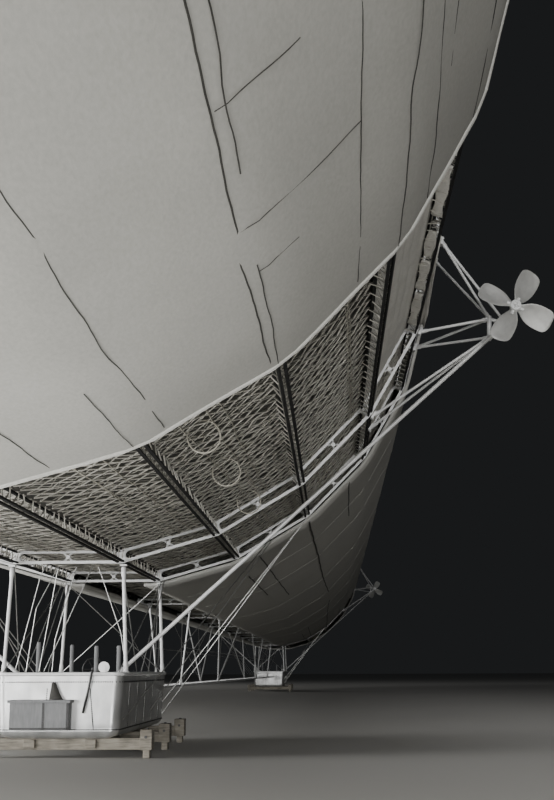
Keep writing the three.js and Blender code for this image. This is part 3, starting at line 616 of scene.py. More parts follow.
def lacing(end, side, width, places, step):
    # the angle runs straight from place to place and strays by three sines of the station
    x, degrees = np.array(sorted(places)).T
    station = np.linspace(x[0], x[-1], int((x[-1] - x[0]) / step) + 2)
    stray = np.sin(2.3 * station) + 0.6 * np.sin(6.1 * station + 1) + 0.35 * np.sin(17 * station)
    angle = np.radians(np.interp(station, x, degrees) + seams["wander"] * stray)
    return seamRope(end, side, station, angle, width)


def creaseShadow(end, side, station, low, high, width):
    # a dark strip of painted shade along a fold, not a cord
    angle = np.radians(np.linspace(low, high, 24))
    return seamRope(end, side, station + 0.02 * np.sin(40 * angle), angle, width)


def lapRing(end, station):
    # a lapped joint of two widths of cotton, straight round the hull
    angle = np.linspace(corners[0] + 0.01, 2 * np.pi - corners[0] - 0.01, 4 * hull["sides"])
    path = onHull(end, station, angle, cottonRadius(np.abs(station), angle) + seams["lapLift"])
    return sweep(path, seams["lap"], outward(angle))


for name, end in ends.items():
    parts = []
    for side in (1, -1):
        parts += [lacing(end, side, *seam, seams["step"]) for seam in seams["laced"]]
        parts += [creaseShadow(end, side, *row) for row in seams["creaseShadows"]]
    # the lacing piece also holds the crease lines, dark painted shade of folds
    makePiece(f"cover_lacing_{name}", parts, tarredLacingAndCreaseShade)
    makePiece(f"cover_laps_{name}", [lapRing(end, station) for station in seams["endLaps"]], dopedCotton)
parts = [lacing(end, side, *seam, seams["middleStep"]) for end in (1, -1) for side in (1, -1)
         for seam in seams["middle"]]
makePiece("cover_lacing_middle", parts, tarredLacingAndCreaseShade)
makePiece("cover_laps_middle", [lapRing(end, station) for station in seams["middleLaps"] for end in (1, -1)],
          dopedCotton)

print("rings and long girders")

bay = {
    "rings": [28.0, 32.0],
    "ringDepth": 0.20,
    "ringWidth": 0.05,
    "chord": 0.043,                 # each chord's depth, in towards the axis
    "sheet": 0.006,
    "gussetReach": 0.12,
    "rivets": {"reach": [0.035, 0.095], "lift": 0.004, "radius": 0.009},
    "spacer": {"reach": 0.065, "inset": 0.012, "strap": 0.017, "disc": 0.032},
    "barStart": 27.6,
    "barEnd": 40.12,
    "barTop": 0.014,                # the long girders stop this far inside the ring's outer edge
    "barDepth": 0.18,
    "barSpread": 0.040,             # each outer chord lies this far to the side of the girder's middle
    "barShift": 0.016,              # the girders sit this far towards the keel from the hull's corners
    "barWidth": 0.030,
    "barChord": 0.026,
    "latticeStep": 0.15,
    "latticeRadius": 0.0075,
    # places from the girder's middle: near on the girder, far on the net, by spread and depth
    "lashing": {"start": 28.1, "step": 0.30, "stray": 0.02, "slant": 0.05, "radius": 0.0085,
                "near": (0.056, 0.04), "far": (0.060, 0.085), "farDepth": (0.13, 0.19)}
}


def sidePoint(x, corner, side, along, depth):
    # a point on the hull's polygon: distance from a corner along the next or last side, and depth under it
    start, stop = (outward(corners[place % hull["sides"]])[1:] for place in (corner, corner + side))
    flat = (hull["ringRadius"] - depth)[..., None] * start + along[..., None] * unit(stop - start)
    return np.stack([np.broadcast_to(x, flat.shape[:-1]), flat[..., 0], axisHeight + flat[..., 1]], axis=-1)


def ringChord(x, depth):
    # a channel bent round the hull, open towards the axis, with a corner at each long girder
    w, d, wall = bay["ringWidth"] / 2, bay["chord"] / 2, bay["sheet"]
    profile = [(-w, -d), (-w + wall, -d), (-w + wall, d - wall), (w - wall, d - wall), (w - wall, -d),
               (w, -d), (w, d), (-w, d)]
    return sweep(onHull(1, x, corners, hull["ringRadius"] - depth), profile, outward(corners), wrap=True)


def gusset(x, corner, thickness):
    # a plate over the corner; between the chords its ends are hollowed by a half circle
    half = bay["ringDepth"] / 2
    hollow = half - bay["chord"]
    bow = hollow * np.sin(np.radians(np.linspace(-80, 80, 7)))
    heights = np.concatenate([[-half, -hollow], bow, [hollow, half]])
    reach = bay["gussetReach"] - np.sqrt(np.clip(hollow ** 2 - heights ** 2, 0, None))
    front = np.stack([sidePoint(x, corner, side, share * reach, half - heights)
                      for side, share in ((-1, 1), (1, 0), (1, 1))], axis=1)
    return plate(front, front + [thickness, 0, 0])


def spacer(x, corner):
    # two straps crossed at the middle of a side, with a small disc over the crossing
    size = bay["spacer"]
    here, there = onHull(1, x, corners[corner], 1.0), onHull(1, x, corners[(corner + 1) % hull["sides"]], 1.0)
    middle = np.linalg.norm(there - here) * (hull["ringRadius"] - bay["ringDepth"] / 2) / 2
    low, high = bay["ringDepth"] - bay["chord"] + size["inset"], bay["chord"] - size["inset"]
    a, b, c, d = (sidePoint(x, corner, 1, np.array([middle + way * size["reach"]]), np.array([depth]))
                  for way, depth in ((-1, high), (1, low), (1, high), (-1, low)))
    thick = np.array([[bay["ringWidth"] / 2 + 0.004, 0, 0]])
    return [rods(np.concatenate([a, c]), np.concatenate([b, d]), size["strap"], 6),
            rods((a + b) / 2 - thick, (a + b) / 2 + thick, size["disc"], 10)]


def ringParts(x):
    parts = [ringChord(x, bay["chord"] / 2), ringChord(x, bay["ringDepth"] - bay["chord"] / 2)]
    for corner in range(hull["sides"]):
        parts += [gusset(x + face * bay["ringWidth"] / 2, corner, face * bay["sheet"]) for face in (-1, 1)]
        parts += spacer(x, corner)
    return parts


def ringRivets(x):
    # four rivets at each end of each gusset, on both faces
    depths = [bay["chord"] / 2, bay["ringDepth"] - bay["chord"] / 2]
    reach, depth = (each.ravel() for each in np.meshgrid(bay["rivets"]["reach"], depths))
    spots = np.concatenate([sidePoint(x, corner, side, reach, depth)
                            for corner in range(hull["sides"]) for side in (-1, 1)])
    out = np.array([bay["ringWidth"] / 2 + bay["sheet"] + bay["rivets"]["lift"], 0, 0])
    return rods(spots - out, spots + out, bay["rivets"]["radius"], 6)


def girderPlace(corner, spread, depth):
    # angle and radius of a place on a long girder: to the side of its middle, and depth under its outer face
    towardsKeel = -1 if corner < 12 else 1
    radius = hull["ringRadius"] - bay["barTop"] - depth
    return corners[corner] + (towardsKeel * bay["barShift"] + spread) / radius, radius


def girderChords(corner, x0, x1):
    # two outer chords side by side and one inner chord
    spread, half = bay["barSpread"], bay["barChord"] / 2
    parts = []
    for place in ((spread, half), (-spread, half), (0, bay["barDepth"] - half)):
        angle, radius = girderPlace(corner, *place)
        parts.append(sweep(onHull(1, np.array([x0, x1]), angle, radius),
                           rectangle(bay["barWidth"], bay["barChord"]), outward(angle)))
    return parts


def girderLattice(corner, x0, x1, step=bay["latticeStep"], radius=bay["latticeRadius"]):
    # straps that run to and fro between the outer chords, and from one of them in to the inner chord
    count = int(round(abs(x1 - x0) / step))
    x, even = np.linspace(x0, x1, count + 1), np.arange(count + 1) % 2 == 0
    spread, chord = bay["barSpread"], bay["barChord"]
    left, right, deep = (girderPlace(corner, *place) for place in
                         ((spread, chord), (-spread, chord), (0, bay["barDepth"] - chord)))
    lines = [onHull(1, x, np.where(even, left[0], b[0]), np.where(even, left[1], b[1]))
             for b in (right, deep)]
    return [rods(line[:-1], line[1:], radius, 3, closed=False) for line in lines]


def lashings(corner, x0, x1, seed):
    # short doubled cords that tie the net's edges on both sides to the girder, one at each mesh
    tie = bay["lashing"]
    random = np.random.default_rng(seed)
    count = int(abs(x1 - x0) / tie["step"])
    parts = []
    for side in (-1, 1):
        x = np.linspace(x0, x1, count) + random.normal(0, tie["stray"], count)
        near = girderPlace(corner, side * tie["near"][0], tie["near"][1])
        spread = side * random.uniform(*tie["far"], count)
        far = girderPlace(corner, spread, random.uniform(*tie["farDepth"], count))
        parts.append(rods(onHull(1, x, *near), onHull(1, x + random.normal(0, tie["slant"], count), *far),
                          tie["radius"], 3))
    return parts


for name, end in ends.items():
    rings = [end * station for station in bay["rings"]]
    parts = [part for x in rings for part in ringParts(x)] + [ringRivets(x) for x in rings]
    faceOutwards(makePiece(f"rings_{name}", parts, rolledAluminium, replaces=f"frame_{name}", sharp=30))
    start, stop = end * bay["barStart"], end * bay["barEnd"]
    chords, lattice, ties = [], [], []
    for corner in range(hull["sides"]):
        chords += girderChords(corner, start, stop)
        lattice += girderLattice(corner, start + end * 0.05, stop - end * 0.07)
        ties += lashings(corner, end * bay["lashing"]["start"], stop - end * 0.05, corner + 60)
    # the chords are coloured almost black as painted shade
    makePiece(f"long_girders_{name}", chords, shadedGirderBlack)
    makePiece(f"girder_lattice_{name}", lattice, paleStrap)
    makePiece(f"net_lashings_{name}", ties, ramieTwine)

print("gas cells")

cell = {
    "radius": 5.56,
    "clearance": 0.06,              # from a cell's flat ends to the rings
    "outerEnd": 40.8,
    "middleEnd": 27.92,
    "shrink": 0.02,
    "fold": 0.0084,
    "straight": 0.6,                # the even rows of the side start this far from each end
    # rows of each end: how far along, and how far in from the side
    "ends": [(0.0, 5.2), (0.0, 2.6), (0.0, 0.34), (0.02, 0.20), (0.08, 0.09), (0.20, 0.03), (0.42, 0.0)]
}


def cellRadius(station, angle, seed):
    # polygon pressed out between the girders, less folds that run along the ship and wander round it
    wander = 0.05 * np.sin(0.9 * station + seed) + 0.03 * np.sin(2.3 * station + 2 * seed)
    folds = np.sin(41 * (angle + wander)) + 0.6 * np.sin(97 * (angle - 0.6 * wander) + 1.4 * station)
    folds = folds + 0.5 * np.sin(6.3 * station + 12 * angle)
    return cell["radius"] * sideShare(angle) - cell["shrink"] + cell["fold"] * folds


def gasCell(name, x0, x1, perSide, spacing, seed):
    # a drum closed at both ends: rows of its side, then rows that round over to the middle of each end
    low, high = min(x0, x1), max(x0, x1)
    along, inset = np.array(cell["ends"]).T
    length = high - low - 2 * cell["straight"]
    side = np.linspace(low + cell["straight"], high - cell["straight"], max(3, int(length / spacing)))
    stations = np.concatenate([low + along, side, (high - along)[::-1]])[:, None]
    inset = np.concatenate([inset, 0 * side, inset[::-1]])[:, None]
    angles = angleSamples(perSide)
    grid = onHull(1, stations, angles, cellRadius(stations, angles, seed) - inset)
    drum = drawnTogether(grid, onHull(1, low, 0.0, 0.0), onHull(1, high, 0.0, 0.0), True)
    piece = makePiece(f"bag_{name}", [drum], rubberedCloth, replaces=f"gas_cell_{name}", sharp=180)


for name, end in ends.items():
    inner, outer = bay["rings"]
    gasCell(f"{name}_inner", end * (inner + cell["clearance"]), end * (outer - cell["clearance"]), 10, 0.4,
            1.0 + end)
    gasCell(f"{name}_outer", end * (outer + cell["clearance"]), end * cell["outerEnd"], 10, 0.45, 4.0 + end)
gasCell("middle", -cell["middleEnd"], cell["middleEnd"], 4, 1.0, 2.0)

print("netting")

net = {
    # radius of the net from the axis, meshes across one side, mesh along the ship, twine, stray, knotted
    "top": (5.61, 5, 0.30, 0.0125, 0.016, True),
    "under": (5.585, 6, 0.25, 0.0065, 0.034, False),    # a finer net that lies loose on the cells
    "slot": (5.61, 4, 0.5, 0.008, 0.02, True),
    "twineSpread": (0.7, 1.35),     # thinnest and thickest strand as a share of the twine
    "girderGap": 0.035,
    "bulge": 0.014,
    "pull": 0.03,
    "cords": 3,                     # long cords woven into each side
    "cordRadius": 0.0065,
    "cordStep": 0.8,
    "cordLift": 0.022,
    "cordStart": (0.3, 0.95),       # where a cord starts and how far it slants, as shares of the side
    "cordSlant": (0.10, 0.3),
    "clothSides": [3, 19]           # sides of the stern bay that are closed with cloth instead
}


def netPanel(random, x0, x1, side, radius, columns, mesh, jitter, knotted):
    # Strands both ways across each mesh of a grid that is bent round the hull. Every knot strays a little.
    # A knotted net is also tied where its strands cross; a loose one has straight strands there.
    low, high = sideAngles(side)
    margin = net["girderGap"] / radius
    rows = int(round(abs(x1 - x0) / mesh))
    column, row = np.meshgrid(np.arange(2 * columns + 1), np.arange(2 * rows + 1), indexing="ij")
    share = column / (2 * columns)
    x = x0 + (x1 - x0) * row / (2 * rows)
    strayX, strayRound, strayOut = random.normal(0, jitter, (3, *x.shape))
    arch = np.sin(np.pi * share)
    inner = (column > 0) & (column < 2 * columns)
    angle = low + margin + (high - low - 2 * margin) * share
    angle = angle + np.where(inner, (strayRound + net["pull"] * np.sin(1.7 * x + side) * arch) / radius, 0)
    out = radius * sideShare(angle) + net["bulge"] * arch + 0.3 * strayOut * inner
    knots = onHull(1, x + 1.2 * strayX, angle, out)
    centre, tied = knots[1::2, 1::2], knots[::2, ::2]
    strands = [(tied[:-1, :-1], tied[1:, 1:]), (tied[1:, :-1], tied[:-1, 1:])]
    if knotted:
        strands = [half for a, b in strands for half in ((a, centre), (centre, b))]
    return [np.concatenate([strand[i].reshape(-1, 3) for strand in strands]) for i in (0, 1)]


def layNet(name, x0, x1, sides, seed, radius, columns, mesh, twine, jitter, knotted):
    random = np.random.default_rng(seed)
    panels = [netPanel(random, x0, x1, side, radius, columns, mesh, jitter, knotted) for side in sides]
    starts, finishes = (np.concatenate(every) for every in zip(*panels))
    thickness = twine * random.uniform(*net["twineSpread"], len(starts))
    makePiece(name, [rods(starts, finishes, thickness, 3, closed=False)], ramieTwine, sharp=180)


def layCords(name, x0, x1, sides, seed):
    # cords that run along the ship through the net and slant towards the keel
    random = np.random.default_rng(seed)
    x = np.linspace(x0, x1, int(abs(x1 - x0) / net["cordStep"]) + 1)
    parts = []
    for side in sides:
        low, high = sideAngles(side)
        for share in random.uniform(*net["cordStart"], net["cords"]):
            share = share - random.uniform(*net["cordSlant"]) * np.linspace(0, 1, len(x))
            place = share if side < 12 else 1 - share
            angle = low + (high - low) * place + random.normal(0, 0.01, len(x)) / net["top"][0]
            line = onHull(1, x, angle, net["top"][0] * sideShare(angle) + net["cordLift"])
            parts.append(rods(line[:-1], line[1:], net["cordRadius"], 3, closed=False))
    makePiece(name, parts, hempRope, sharp=180)


for name, end in ends.items():
    outerSides = [side for side in range(hull["sides"]) if end == 1 or side not in net["clothSides"]]
    for place, x0, x1, sides, seed in (("outer", 32.03, 40.1, outerSides, 11),
                                       ("inner", 26.2, 31.97, range(hull["sides"]), 21)):
        layNet(f"net_{name}_{place}", end * x0, end * x1, sides, seed + end, *net["top"])
        layNet(f"under_net_{name}_{place}", end * x0, end * x1, sides, seed + 4 + end, *net["under"])
        layCords(f"net_cords_{name}_{place}", end * x0, end * x1, sides, seed + 8 + end)
layNet("net_slot", -26.9, 26.9, [23], 31, *net["slot"])

print("cloth and ropes on the open bay")

cloth = {
    "radius": 5.63,
    "start": 32.07,
    "end": 38.5,
    "sides": {"port": 3, "starboard": 19},
    "share": 0.94,                  # of the side's width
    "ragged": 0.16,
    "wrinkle": 0.012,
    "wall": 0.006
}
scraps = {
    # stations from and to
    "wraps": [(32.5, 34.1), (34.25, 35.5), (35.65, 36.6), (37.1, 38.6), (38.9, 39.9)],
    "corner": {"port": 4, "starboard": 19},
    # station, then how far beyond the rings the flap hangs
    "flap": [(32.25, 0.085), (32.9, 0.090), (33.6, 0.070), (34.6, 0.045), (36.2, 0.010)]
}
hoops = {
    "radius": 0.170,
    "rope": 0.0095,
    "height": 5.70,                 # distance of each hoop's middle from the hull axis
    "places": [(38.32, 28.4), (35.90, 28.7), (32.88, 29.5)]    # station, degrees from straight down
}


def clothOnBay(name, side):
    # cloth between two long girders: polygon radius less wrinkles along the ship; the far edge is torn
    low, high = sideAngles(side)
    share = np.linspace(0.5 - cloth["share"] / 2, 0.5 + cloth["share"] / 2, 36)
    angle = low + (high - low) * share
    torn = np.sin(23 * share) + 0.6 * np.sin(51 * share + 2) + 0.4 * np.sin(97 * share)
    length = cloth["end"] - cloth["start"]
    down = np.linspace(0, 1, 64)[:, None]
    station = cloth["start"] + down * (length + cloth["ragged"] * torn)
    wrinkles = np.sin(38 * share + 0.8 * np.sin(2 * station)) + 0.5 * np.sin(71 * share + 1.4 * station)
    wrinkles = wrinkles + 0.4 * np.sin(5 * station + 9 * share)
    ease = np.sin(np.pi * np.clip(down, 0, 0.5)) * np.sin(np.pi * share)
    radius = cloth["radius"] * sideShare(angle) + cloth["wrinkle"] * wrinkles * (0.25 + ease)
    piece = makePiece(f"bay_cloth_{name}", [sheet(onHull(-1, station, angle, radius))], litLooseCotton,
                      sharp=180, wall=cloth["wall"])


def clothScraps(name, corner):
    # loose cloth along a girder's side, crumpled by two sines, and a torn flap that hangs from its edge
    parts = []
    outside = 1 if corner < 12 else -1
    for low, high in scraps["wraps"]:
        station = np.linspace(low, high, 14)[:, None]
        share = np.linspace(-1, 1, 7)
        crumple = 0.006 * np.sin(9 * station + 4 * share) + 0.004 * np.sin(23 * station - 6 * share)
        depth = bay["barDepth"] * (0.52 + 0.34 * share * (1 + 0.2 * np.sin(7 * station)))
        parts.append(sheet(onHull(-1, station, *girderPlace(corner, outside * (-0.062 - crumple), depth))))
    station, reach = (column[:, None] for column in np.array(scraps["flap"]).T)
    share = np.linspace(0, 1, 8)
    angle, radius = girderPlace(corner, outside * (0.06 + 0.02 * np.sin(9 * share + 3 * station)), 0.0)
    parts.append(sheet(onHull(-1, station + 0.1 * np.sin(6 * share) * share, angle, radius + share * reach)))
    # the scraps take the same painted light as the cloth on the bay
    makePiece(f"cloth_scraps_{name}", parts, litLooseCotton, sharp=180, wall=cloth["wall"])


for name, side in cloth["sides"].items():
    clothOnBay(name, side)
for name, corner in scraps["corner"].items():
    clothScraps(name, corner)
for name, end in ends.items():
    # rope hoops that hang from the net across the ship, on both sides
    centres = [onHull(end, station, side * math.radians(degrees), hoops["height"]) for side in (-1, 1)
               for station, degrees in hoops["places"]]
    makePiece(f"net_hoops_{name}",
              [torus(centre, hoops["radius"], hoops["rope"], 36, 6) for centre in centres],
              hempRope)

print("keel and gangway")

ringBottom = -hull["ringRadius"] * math.cos(corners[0])
padTop = ringBottom - 0.004
webs = np.array([-20.0, -12, -4, 4, 12, 20])
keel = {
    "end": 27.55,
    "webHeight": 0.15,
    "webChord": 0.036,
    "latticeStep": 0.3,
    "latticeRadius": 0.010
}
gangway = {
    "halfWidth": 0.28,
    "headY": 0.50,
    "deck": -7.70,
    "end": 27.5,
    # height above the deck, half its width and half its height, of each bar that runs along both edges
    "stringer": [(-0.019, 0.025, 0.006), (0.019, 0.025, 0.006), (0, 0.005, 0.022)],
    "slatStep": 0.25,
    "slat": (0.05, 0.53, 0.018),
    "hanger": 0.02,
    "hangers": [(20, 20), (12, 10), (4, 10)],   # station of the web and of the hanger's lower end
    "stayFeet": [-20.0, -10, 10, 20],
    "stay": {"lean": 4, "side": 0.80, "radius": 0.006},
    "handLine": {"height": 0.9, "radius": 0.008},
    "pad": (0.08, 0.10, 0.05)
}


def addKeel():
    chords, lattice = [], []
    for corner in (0, 23):
        chords += girderChords(corner, -keel["end"], keel["end"])
        lattice += girderLattice(corner, -keel["end"] + 0.1, keel["end"] - 0.1, keel["latticeStep"],
                                 keel["latticeRadius"])
    half = hull["ringRadius"] * math.sin(corners[0]) - bay["barWidth"] / 2
    chord, height = keel["webChord"] / 2, keel["webHeight"]
    bars = [boxes(at(1, webs, 0, ringBottom + level), (0.025, half, chord))
            for level in (chord, height - chord)]
    middle = ringBottom + height / 2
    for side in (-1, 1):
        bars.append(boxes(at(1, webs, side * (half - 0.08), middle), (0.03, 0.08, height / 2 - 0.004)))
        bars.append(rods(at(1, webs, side * 0.06, middle + 0.045),
                         at(1, webs, -side * 0.06, middle - 0.045), 0.012))
    bars.append(rods(at(1, webs - 0.03, 0, middle), at(1, webs + 0.03, 0, middle), 0.024, 10))
    # the keel's chords take the same painted shade as the long girders
    makePiece("keel_chords", chords, shadedGirderBlack, replaces="keel_girder")
    makePiece("keel_lattice", lattice, paleStrap)
    makePiece("keel_webs", bars, rolledAluminium)


def addGangway():
    deck, half, end, headY = (gangway[key] for key in ("deck", "halfWidth", "end", "headY"))
    stay, handLine, pad = gangway["stay"], gangway["handLine"], np.array(gangway["pad"])
    parts = [boxes(at(1, 0, side * half, deck + level), (end, wide, high)) for side in (-1, 1)
             for level, wide, high in gangway["stringer"]]
    slats = np.arange(-end + 0.15, end, gangway["slatStep"])
    parts.append(boxes(at(1, slats, 0, deck + 0.012), np.array(gangway["slat"]) / 2))
    share = handLine["height"] / (padTop - deck)
    head, foot = np.array(gangway["hangers"], float).T
    held = foot + (head - foot) * share
    held = np.concatenate([-held, held[::-1]])
    feet = np.array(gangway["stayFeet"])
    lines = []
    for side in (-1, 1):
        parts += [strut(at(way, foot, side * half, deck + 0.02), at(way, web, side * headY, padTop - pad[2]),
                        gangway["hanger"]) for way in (-1, 1) for web, foot in gangway["hangers"]]
        parts.append(boxes(at(1, webs, side * headY, padTop - pad[2] / 2), pad / 2))
        line = at(1, held, side * (half + (headY - half) * share), deck + handLine["height"])
        lines.append(rods(line[:-1], line[1:], handLine["radius"], 5))
        for lean in (-stay["lean"], stay["lean"]):
            top = at(1, feet + lean, side * stay["side"], ringBottom + 0.03)
            lines.append(rods(at(1, feet, side * half, deck), top, stay["radius"], 4))
    makePiece("gangway_deck", parts, rolledAluminium, replaces="gangway")
    makePiece("gangway_lines", lines, drawnSteel)


addKeel()
addGangway()

print("gondolas")

boat = {
    "middle": 30.0,
    "bottom": -8.31,
    "wall": 0.035,
    "railTop": -7.37,
    # outline at each height over the bottom
    "heights": [0.00, 0.01, 0.025, 0.04, 0.07, 0.12, 0.887],
    "halfLength": [2.26, 2.285, 2.312, 2.33, 2.350, 2.36, 2.36],
    "halfWidth": [0.72, 0.753, 0.795, 0.83, 0.867, 0.89, 0.93],
    "corner": [0.08, 0.09, 0.105, 0.12, 0.13, 0.14, 0.14],
    "rows": [0.22, 0.38, 0.54, 0.70, 0.82],     # heights between the turn of the bottom and the rail
    "seams": [0.125, 0.80],                     # heights of the rivet rows round the boat
    "sideJoints": [-1.6, -0.8, 0.0, 0.8, 1.6],  # from the boat's middle, along the ship
    "endJoints": [(-0.46, -0.52), (0.17, 0.20)],    # across the ship, at the top and at the bottom
    "ribs": np.arange(-1.95, 2.0, 0.65),
    "dent": 0.004,
    "dented": (0.15, 0.85),                     # heights between which the walls are dented
    "floorInset": 0.35,
    "rivet": (0.0115, 0.006),                   # radius and height
    # lowest and highest point of the upright lines, and how many points they have
    "rivetLine": (0.15, 0.70, 20),
    "pitchLine": (0.13, 0.70, 8),
    "stripLine": (0.13, 0.80, 8),
    "ribLine": (0.12, 0.84, 7),
    # width and thickness of the strips, bands, ribs and pitch lines
    "strip": (0.05, 0.0016),
    "band": (0.04, 0.004),
    "rib": (0.03, 0.02),
    "pitch": (0.013, 0.006),
    # section of the rail, across the wall and up
    "rail": [(-0.018, -0.025), (0.022, -0.025), (0.028, -0.018), (0.030, 0.004), (0.024, 0.020),
             (0.010, 0.025), (-0.012, 0.025), (-0.018, 0.018)]
}
posts = {
    "stations": [28.0, 32.0],
    "headY": 0.85,
    "footY": 0.92,
    "radius": 0.0285,
    "pad": (0.10, 0.10, 0.05),
    "flange": [(0, 0.05), (0.028, 0.05), (0.032, 0.04)]
}
trim = {
    # station, side and height above the hull axis
    "rod": [(32.42, -0.49, -7.36), (32.42, -0.47, -7.48), (32.41, -0.42, -7.72), (32.41, -0.37, -7.95)],
    "rodRadius": 0.0175,
    "pulley": (32.33, -0.65, -7.30),
    "pulleyRadius": 0.08,
    "pulleyHalf": 0.0175,
    "pipes": [(31.2, 0.59, -6.91), (29.2, 0.48, -6.91), (31.2, -0.32, -6.97), (31.2, -0.67, -6.97)],
    "pipeRadius": 0.035
}
boatFloor = boat["bottom"] + boat["wall"] + 0.003


def inBoat(end, station, y, height):
    # a place above the gondola's floor
    return at(end, station, y, boatFloor + np.asarray(height, float))


def blocks(end, rows):
    # a block for each row: station, side and height in the gondola, then half its size each way
    rows = np.array(rows, float)
    return boxes(inBoat(end, *rows[:, :3].T), rows[:, 3:])


def turnedIn(end, rows):
    # a turned body for each row: start and finish as station, side and height in the gondola, profile, sides
    return [turned(inBoat(end, *start), inBoat(end, *finish), profile, sides)
            for start, finish, profile, sides in rows]


def boatOutline(end, height, inset=0.0, cornerSteps=8, lengthSteps=26, widthSteps=8):
    # a rounded oblong at one height: four quarter circles with straight runs between them, to port first
    length, width, corner = (np.interp(height, boat["heights"], boat[key])
                             for key in ("halfLength", "halfWidth", "corner"))
    corner = max(corner - inset, 0.02)
    reach = np.array([length, width]) - inset - corner
    centres = np.array([(1, 1), (-1, 1), (-1, -1), (1, -1)]) * reach
    points = []
    for quarter in range(4):
        turn = (quarter + np.linspace(0, 1, cornerSteps + 1)) * np.pi / 2
        way = np.stack([np.cos(turn), np.sin(turn)], axis=-1)
        arc = centres[quarter] + corner * way
        stop = centres[(quarter + 1) % 4] + corner * way[-1]
        steps = widthSteps if quarter % 2 else lengthSteps
        points += [arc, arc[-1] + (stop - arc[-1]) * (np.arange(1, steps) / steps)[:, None]]
    flat = np.concatenate(points)
    return np.stack([end * boat["middle"] + flat[:, 0], flat[:, 1],
                     np.full(len(flat), axisHeight + boat["bottom"] + height)], axis=-1)


def ringOut(ring):
    # level directions out of a closed line: its run turned a quarter
    return unit(np.cross(np.roll(ring, -1, axis=0) - np.roll(ring, 1, axis=0), [0, 0, 1.0]))


def boatShell(end):
    wall = boat["wall"]
    outer = np.sort(boat["heights"] + boat["rows"])
    floorInset = boat["floorInset"]
    rows = [(0.0, floorInset)] + [(height, 0.0) for height in outer]
    rows += [(height, wall) for height in outer[::-1] if height >= wall * 1.5]
    rows += [(wall, wall + 0.02), (wall, floorInset)]
    rings, (low, high) = [], boat["dented"]
    for height, inset in rows:
        ring = boatOutline(end, height, inset)
        wave = np.sin(3.1 * ring[:, 0] + 5 * ring[:, 1]) * np.sin(7 * height + 2.3 * ring[:, 0])
        ring[:, 1] += boat["dent"] * wave * np.sign(ring[:, 1]) * (low < height < high)
        rings.append(ring)
    centre = at(end, boat["middle"], 0, boat["bottom"])
    return drawnTogether(np.stack(rings), centre, centre + [0, 0, wall], True)


def endJoint(end, face, joint, heights, lift):
    # a line down an end wall, at one side distance at the top and another at the bottom
    share = (heights - heights[0]) / (heights[-1] - heights[0])
    length = np.interp(heights, boat["heights"], boat["halfLength"]) + lift
    y = joint[1] + (joint[0] - joint[1]) * share
    return at(end, boat["middle"] + face * length, y, boat["bottom"] + heights)


def sideLine(end, offset, side, heights, lift):
    # a line up a side wall
    width = np.interp(heights, boat["heights"], boat["halfWidth"]) + lift
    return at(end, boat["middle"] + offset, side * width, boat["bottom"] + heights)


def seamBand(end, height, lift, size):
    ring = boatOutline(end, height, -lift)
    return sweep(ring, rectangle(*size), ringOut(ring), wrap=True)


def boatRivets(end):
    # rivet rows: along the seams near the bottom and the rail, and up each joint between sheets
    rings = [boatOutline(end, height, 0.0, 4, 98, 60) for height in boat["seams"]]
    heights = np.linspace(*boat["rivetLine"])
    spots, outs = list(rings), [ringOut(ring) for ring in rings]
    for offset in boat["sideJoints"]:
        for side in (-1, 1):
            spots.append(sideLine(end, offset, side, heights, 0))
            outs.append(np.tile([0, side, 0.0], (len(heights), 1)))
    for joint in boat["endJoints"]:
        for face in (-1, 1):
            spots.append(endJoint(end, face, joint, heights, 0.0))
            outs.append(np.tile([end * face, 0, 0.0], (len(heights), 1)))
    return bolts(np.concatenate(spots), np.concatenate(outs), *boat["rivet"], 4)


def boatPitch(end):
    # thin lines of pitch pressed out along the lower seam and up the joints of the end walls
    heights = np.linspace(*boat["pitchLine"])
    parts = [seamBand(end, boat["seams"][0], 0.003, boat["pitch"])]
    return parts + [sweep(endJoint(end, face, boat["endJoints"][0], heights, 0.001), rectangle(0.012, 0.006),
                          [end * face, 0, 0]) for face in (-1, 1)]


def boatStrips(end):
    # flat strips that cover the joints between sheets, bands along the seams, and light ribs inside the walls
    lines = [(boat["sideJoints"], np.linspace(*boat["stripLine"]), 0.001, boat["strip"]),
             (boat["ribs"], np.linspace(*boat["ribLine"]), -boat["wall"] - 0.012, boat["rib"])]
    strips, ribs = ([sweep(sideLine(end, offset, side, heights, lift), rectangle(*size), [0, side, 0])
                     for offset in offsets for side in (-1, 1)] for offsets, heights, lift, size in lines)
    return strips + [seamBand(end, height, 0.001, boat["band"]) for height in boat["seams"]] + ribs


def gunwaleParts(end):
    # the rolled rail round the boat's edge, and the four posts with their pads
    ring = boatOutline(end, boat["heights"][-1])
    ring[:, 2] = axisHeight + boat["railTop"] - 0.025
    parts = [sweep(ring, boat["rail"], [0, 0, 1], wrap=True)]
    pad = np.array(posts["pad"])
    for station in posts["stations"]:
        for side in (-1, 1):
            foot = at(end, station, side * posts["footY"], boat["railTop"] - 0.01)
            head = at(end, station, side * posts["headY"], padTop - pad[2])
            parts += [strut(foot, head, posts["radius"], 1.35),
                      boxes(head + [0, 0, pad[2] / 2], pad / [2, 2, 4]),
                      turned(foot - [0, 0, 0.012], foot + [0, 0, 0.02], posts["flange"], 12)]
    return parts


def pulleyParts(end):
    # a grooved wheel on a small block on the rail
    station, y, z = trim["pulley"]
    radius, half = trim["pulleyRadius"], trim["pulleyHalf"]
    groove = [(0, 0.03), (0, radius), (half * 0.6, radius), (half, radius - 0.02), (half * 1.4, radius),
              (2 * half, radius), (2 * half, 0.03), (2 * half + 0.015, 0.03)]
    return [turned(at(end, station - half, y, z), at(end, station + half, y, z), groove, 24),
            boxes(at(end, station - 0.01, y, boat["railTop"] + 0.01), (0.05, 0.03, 0.03))]


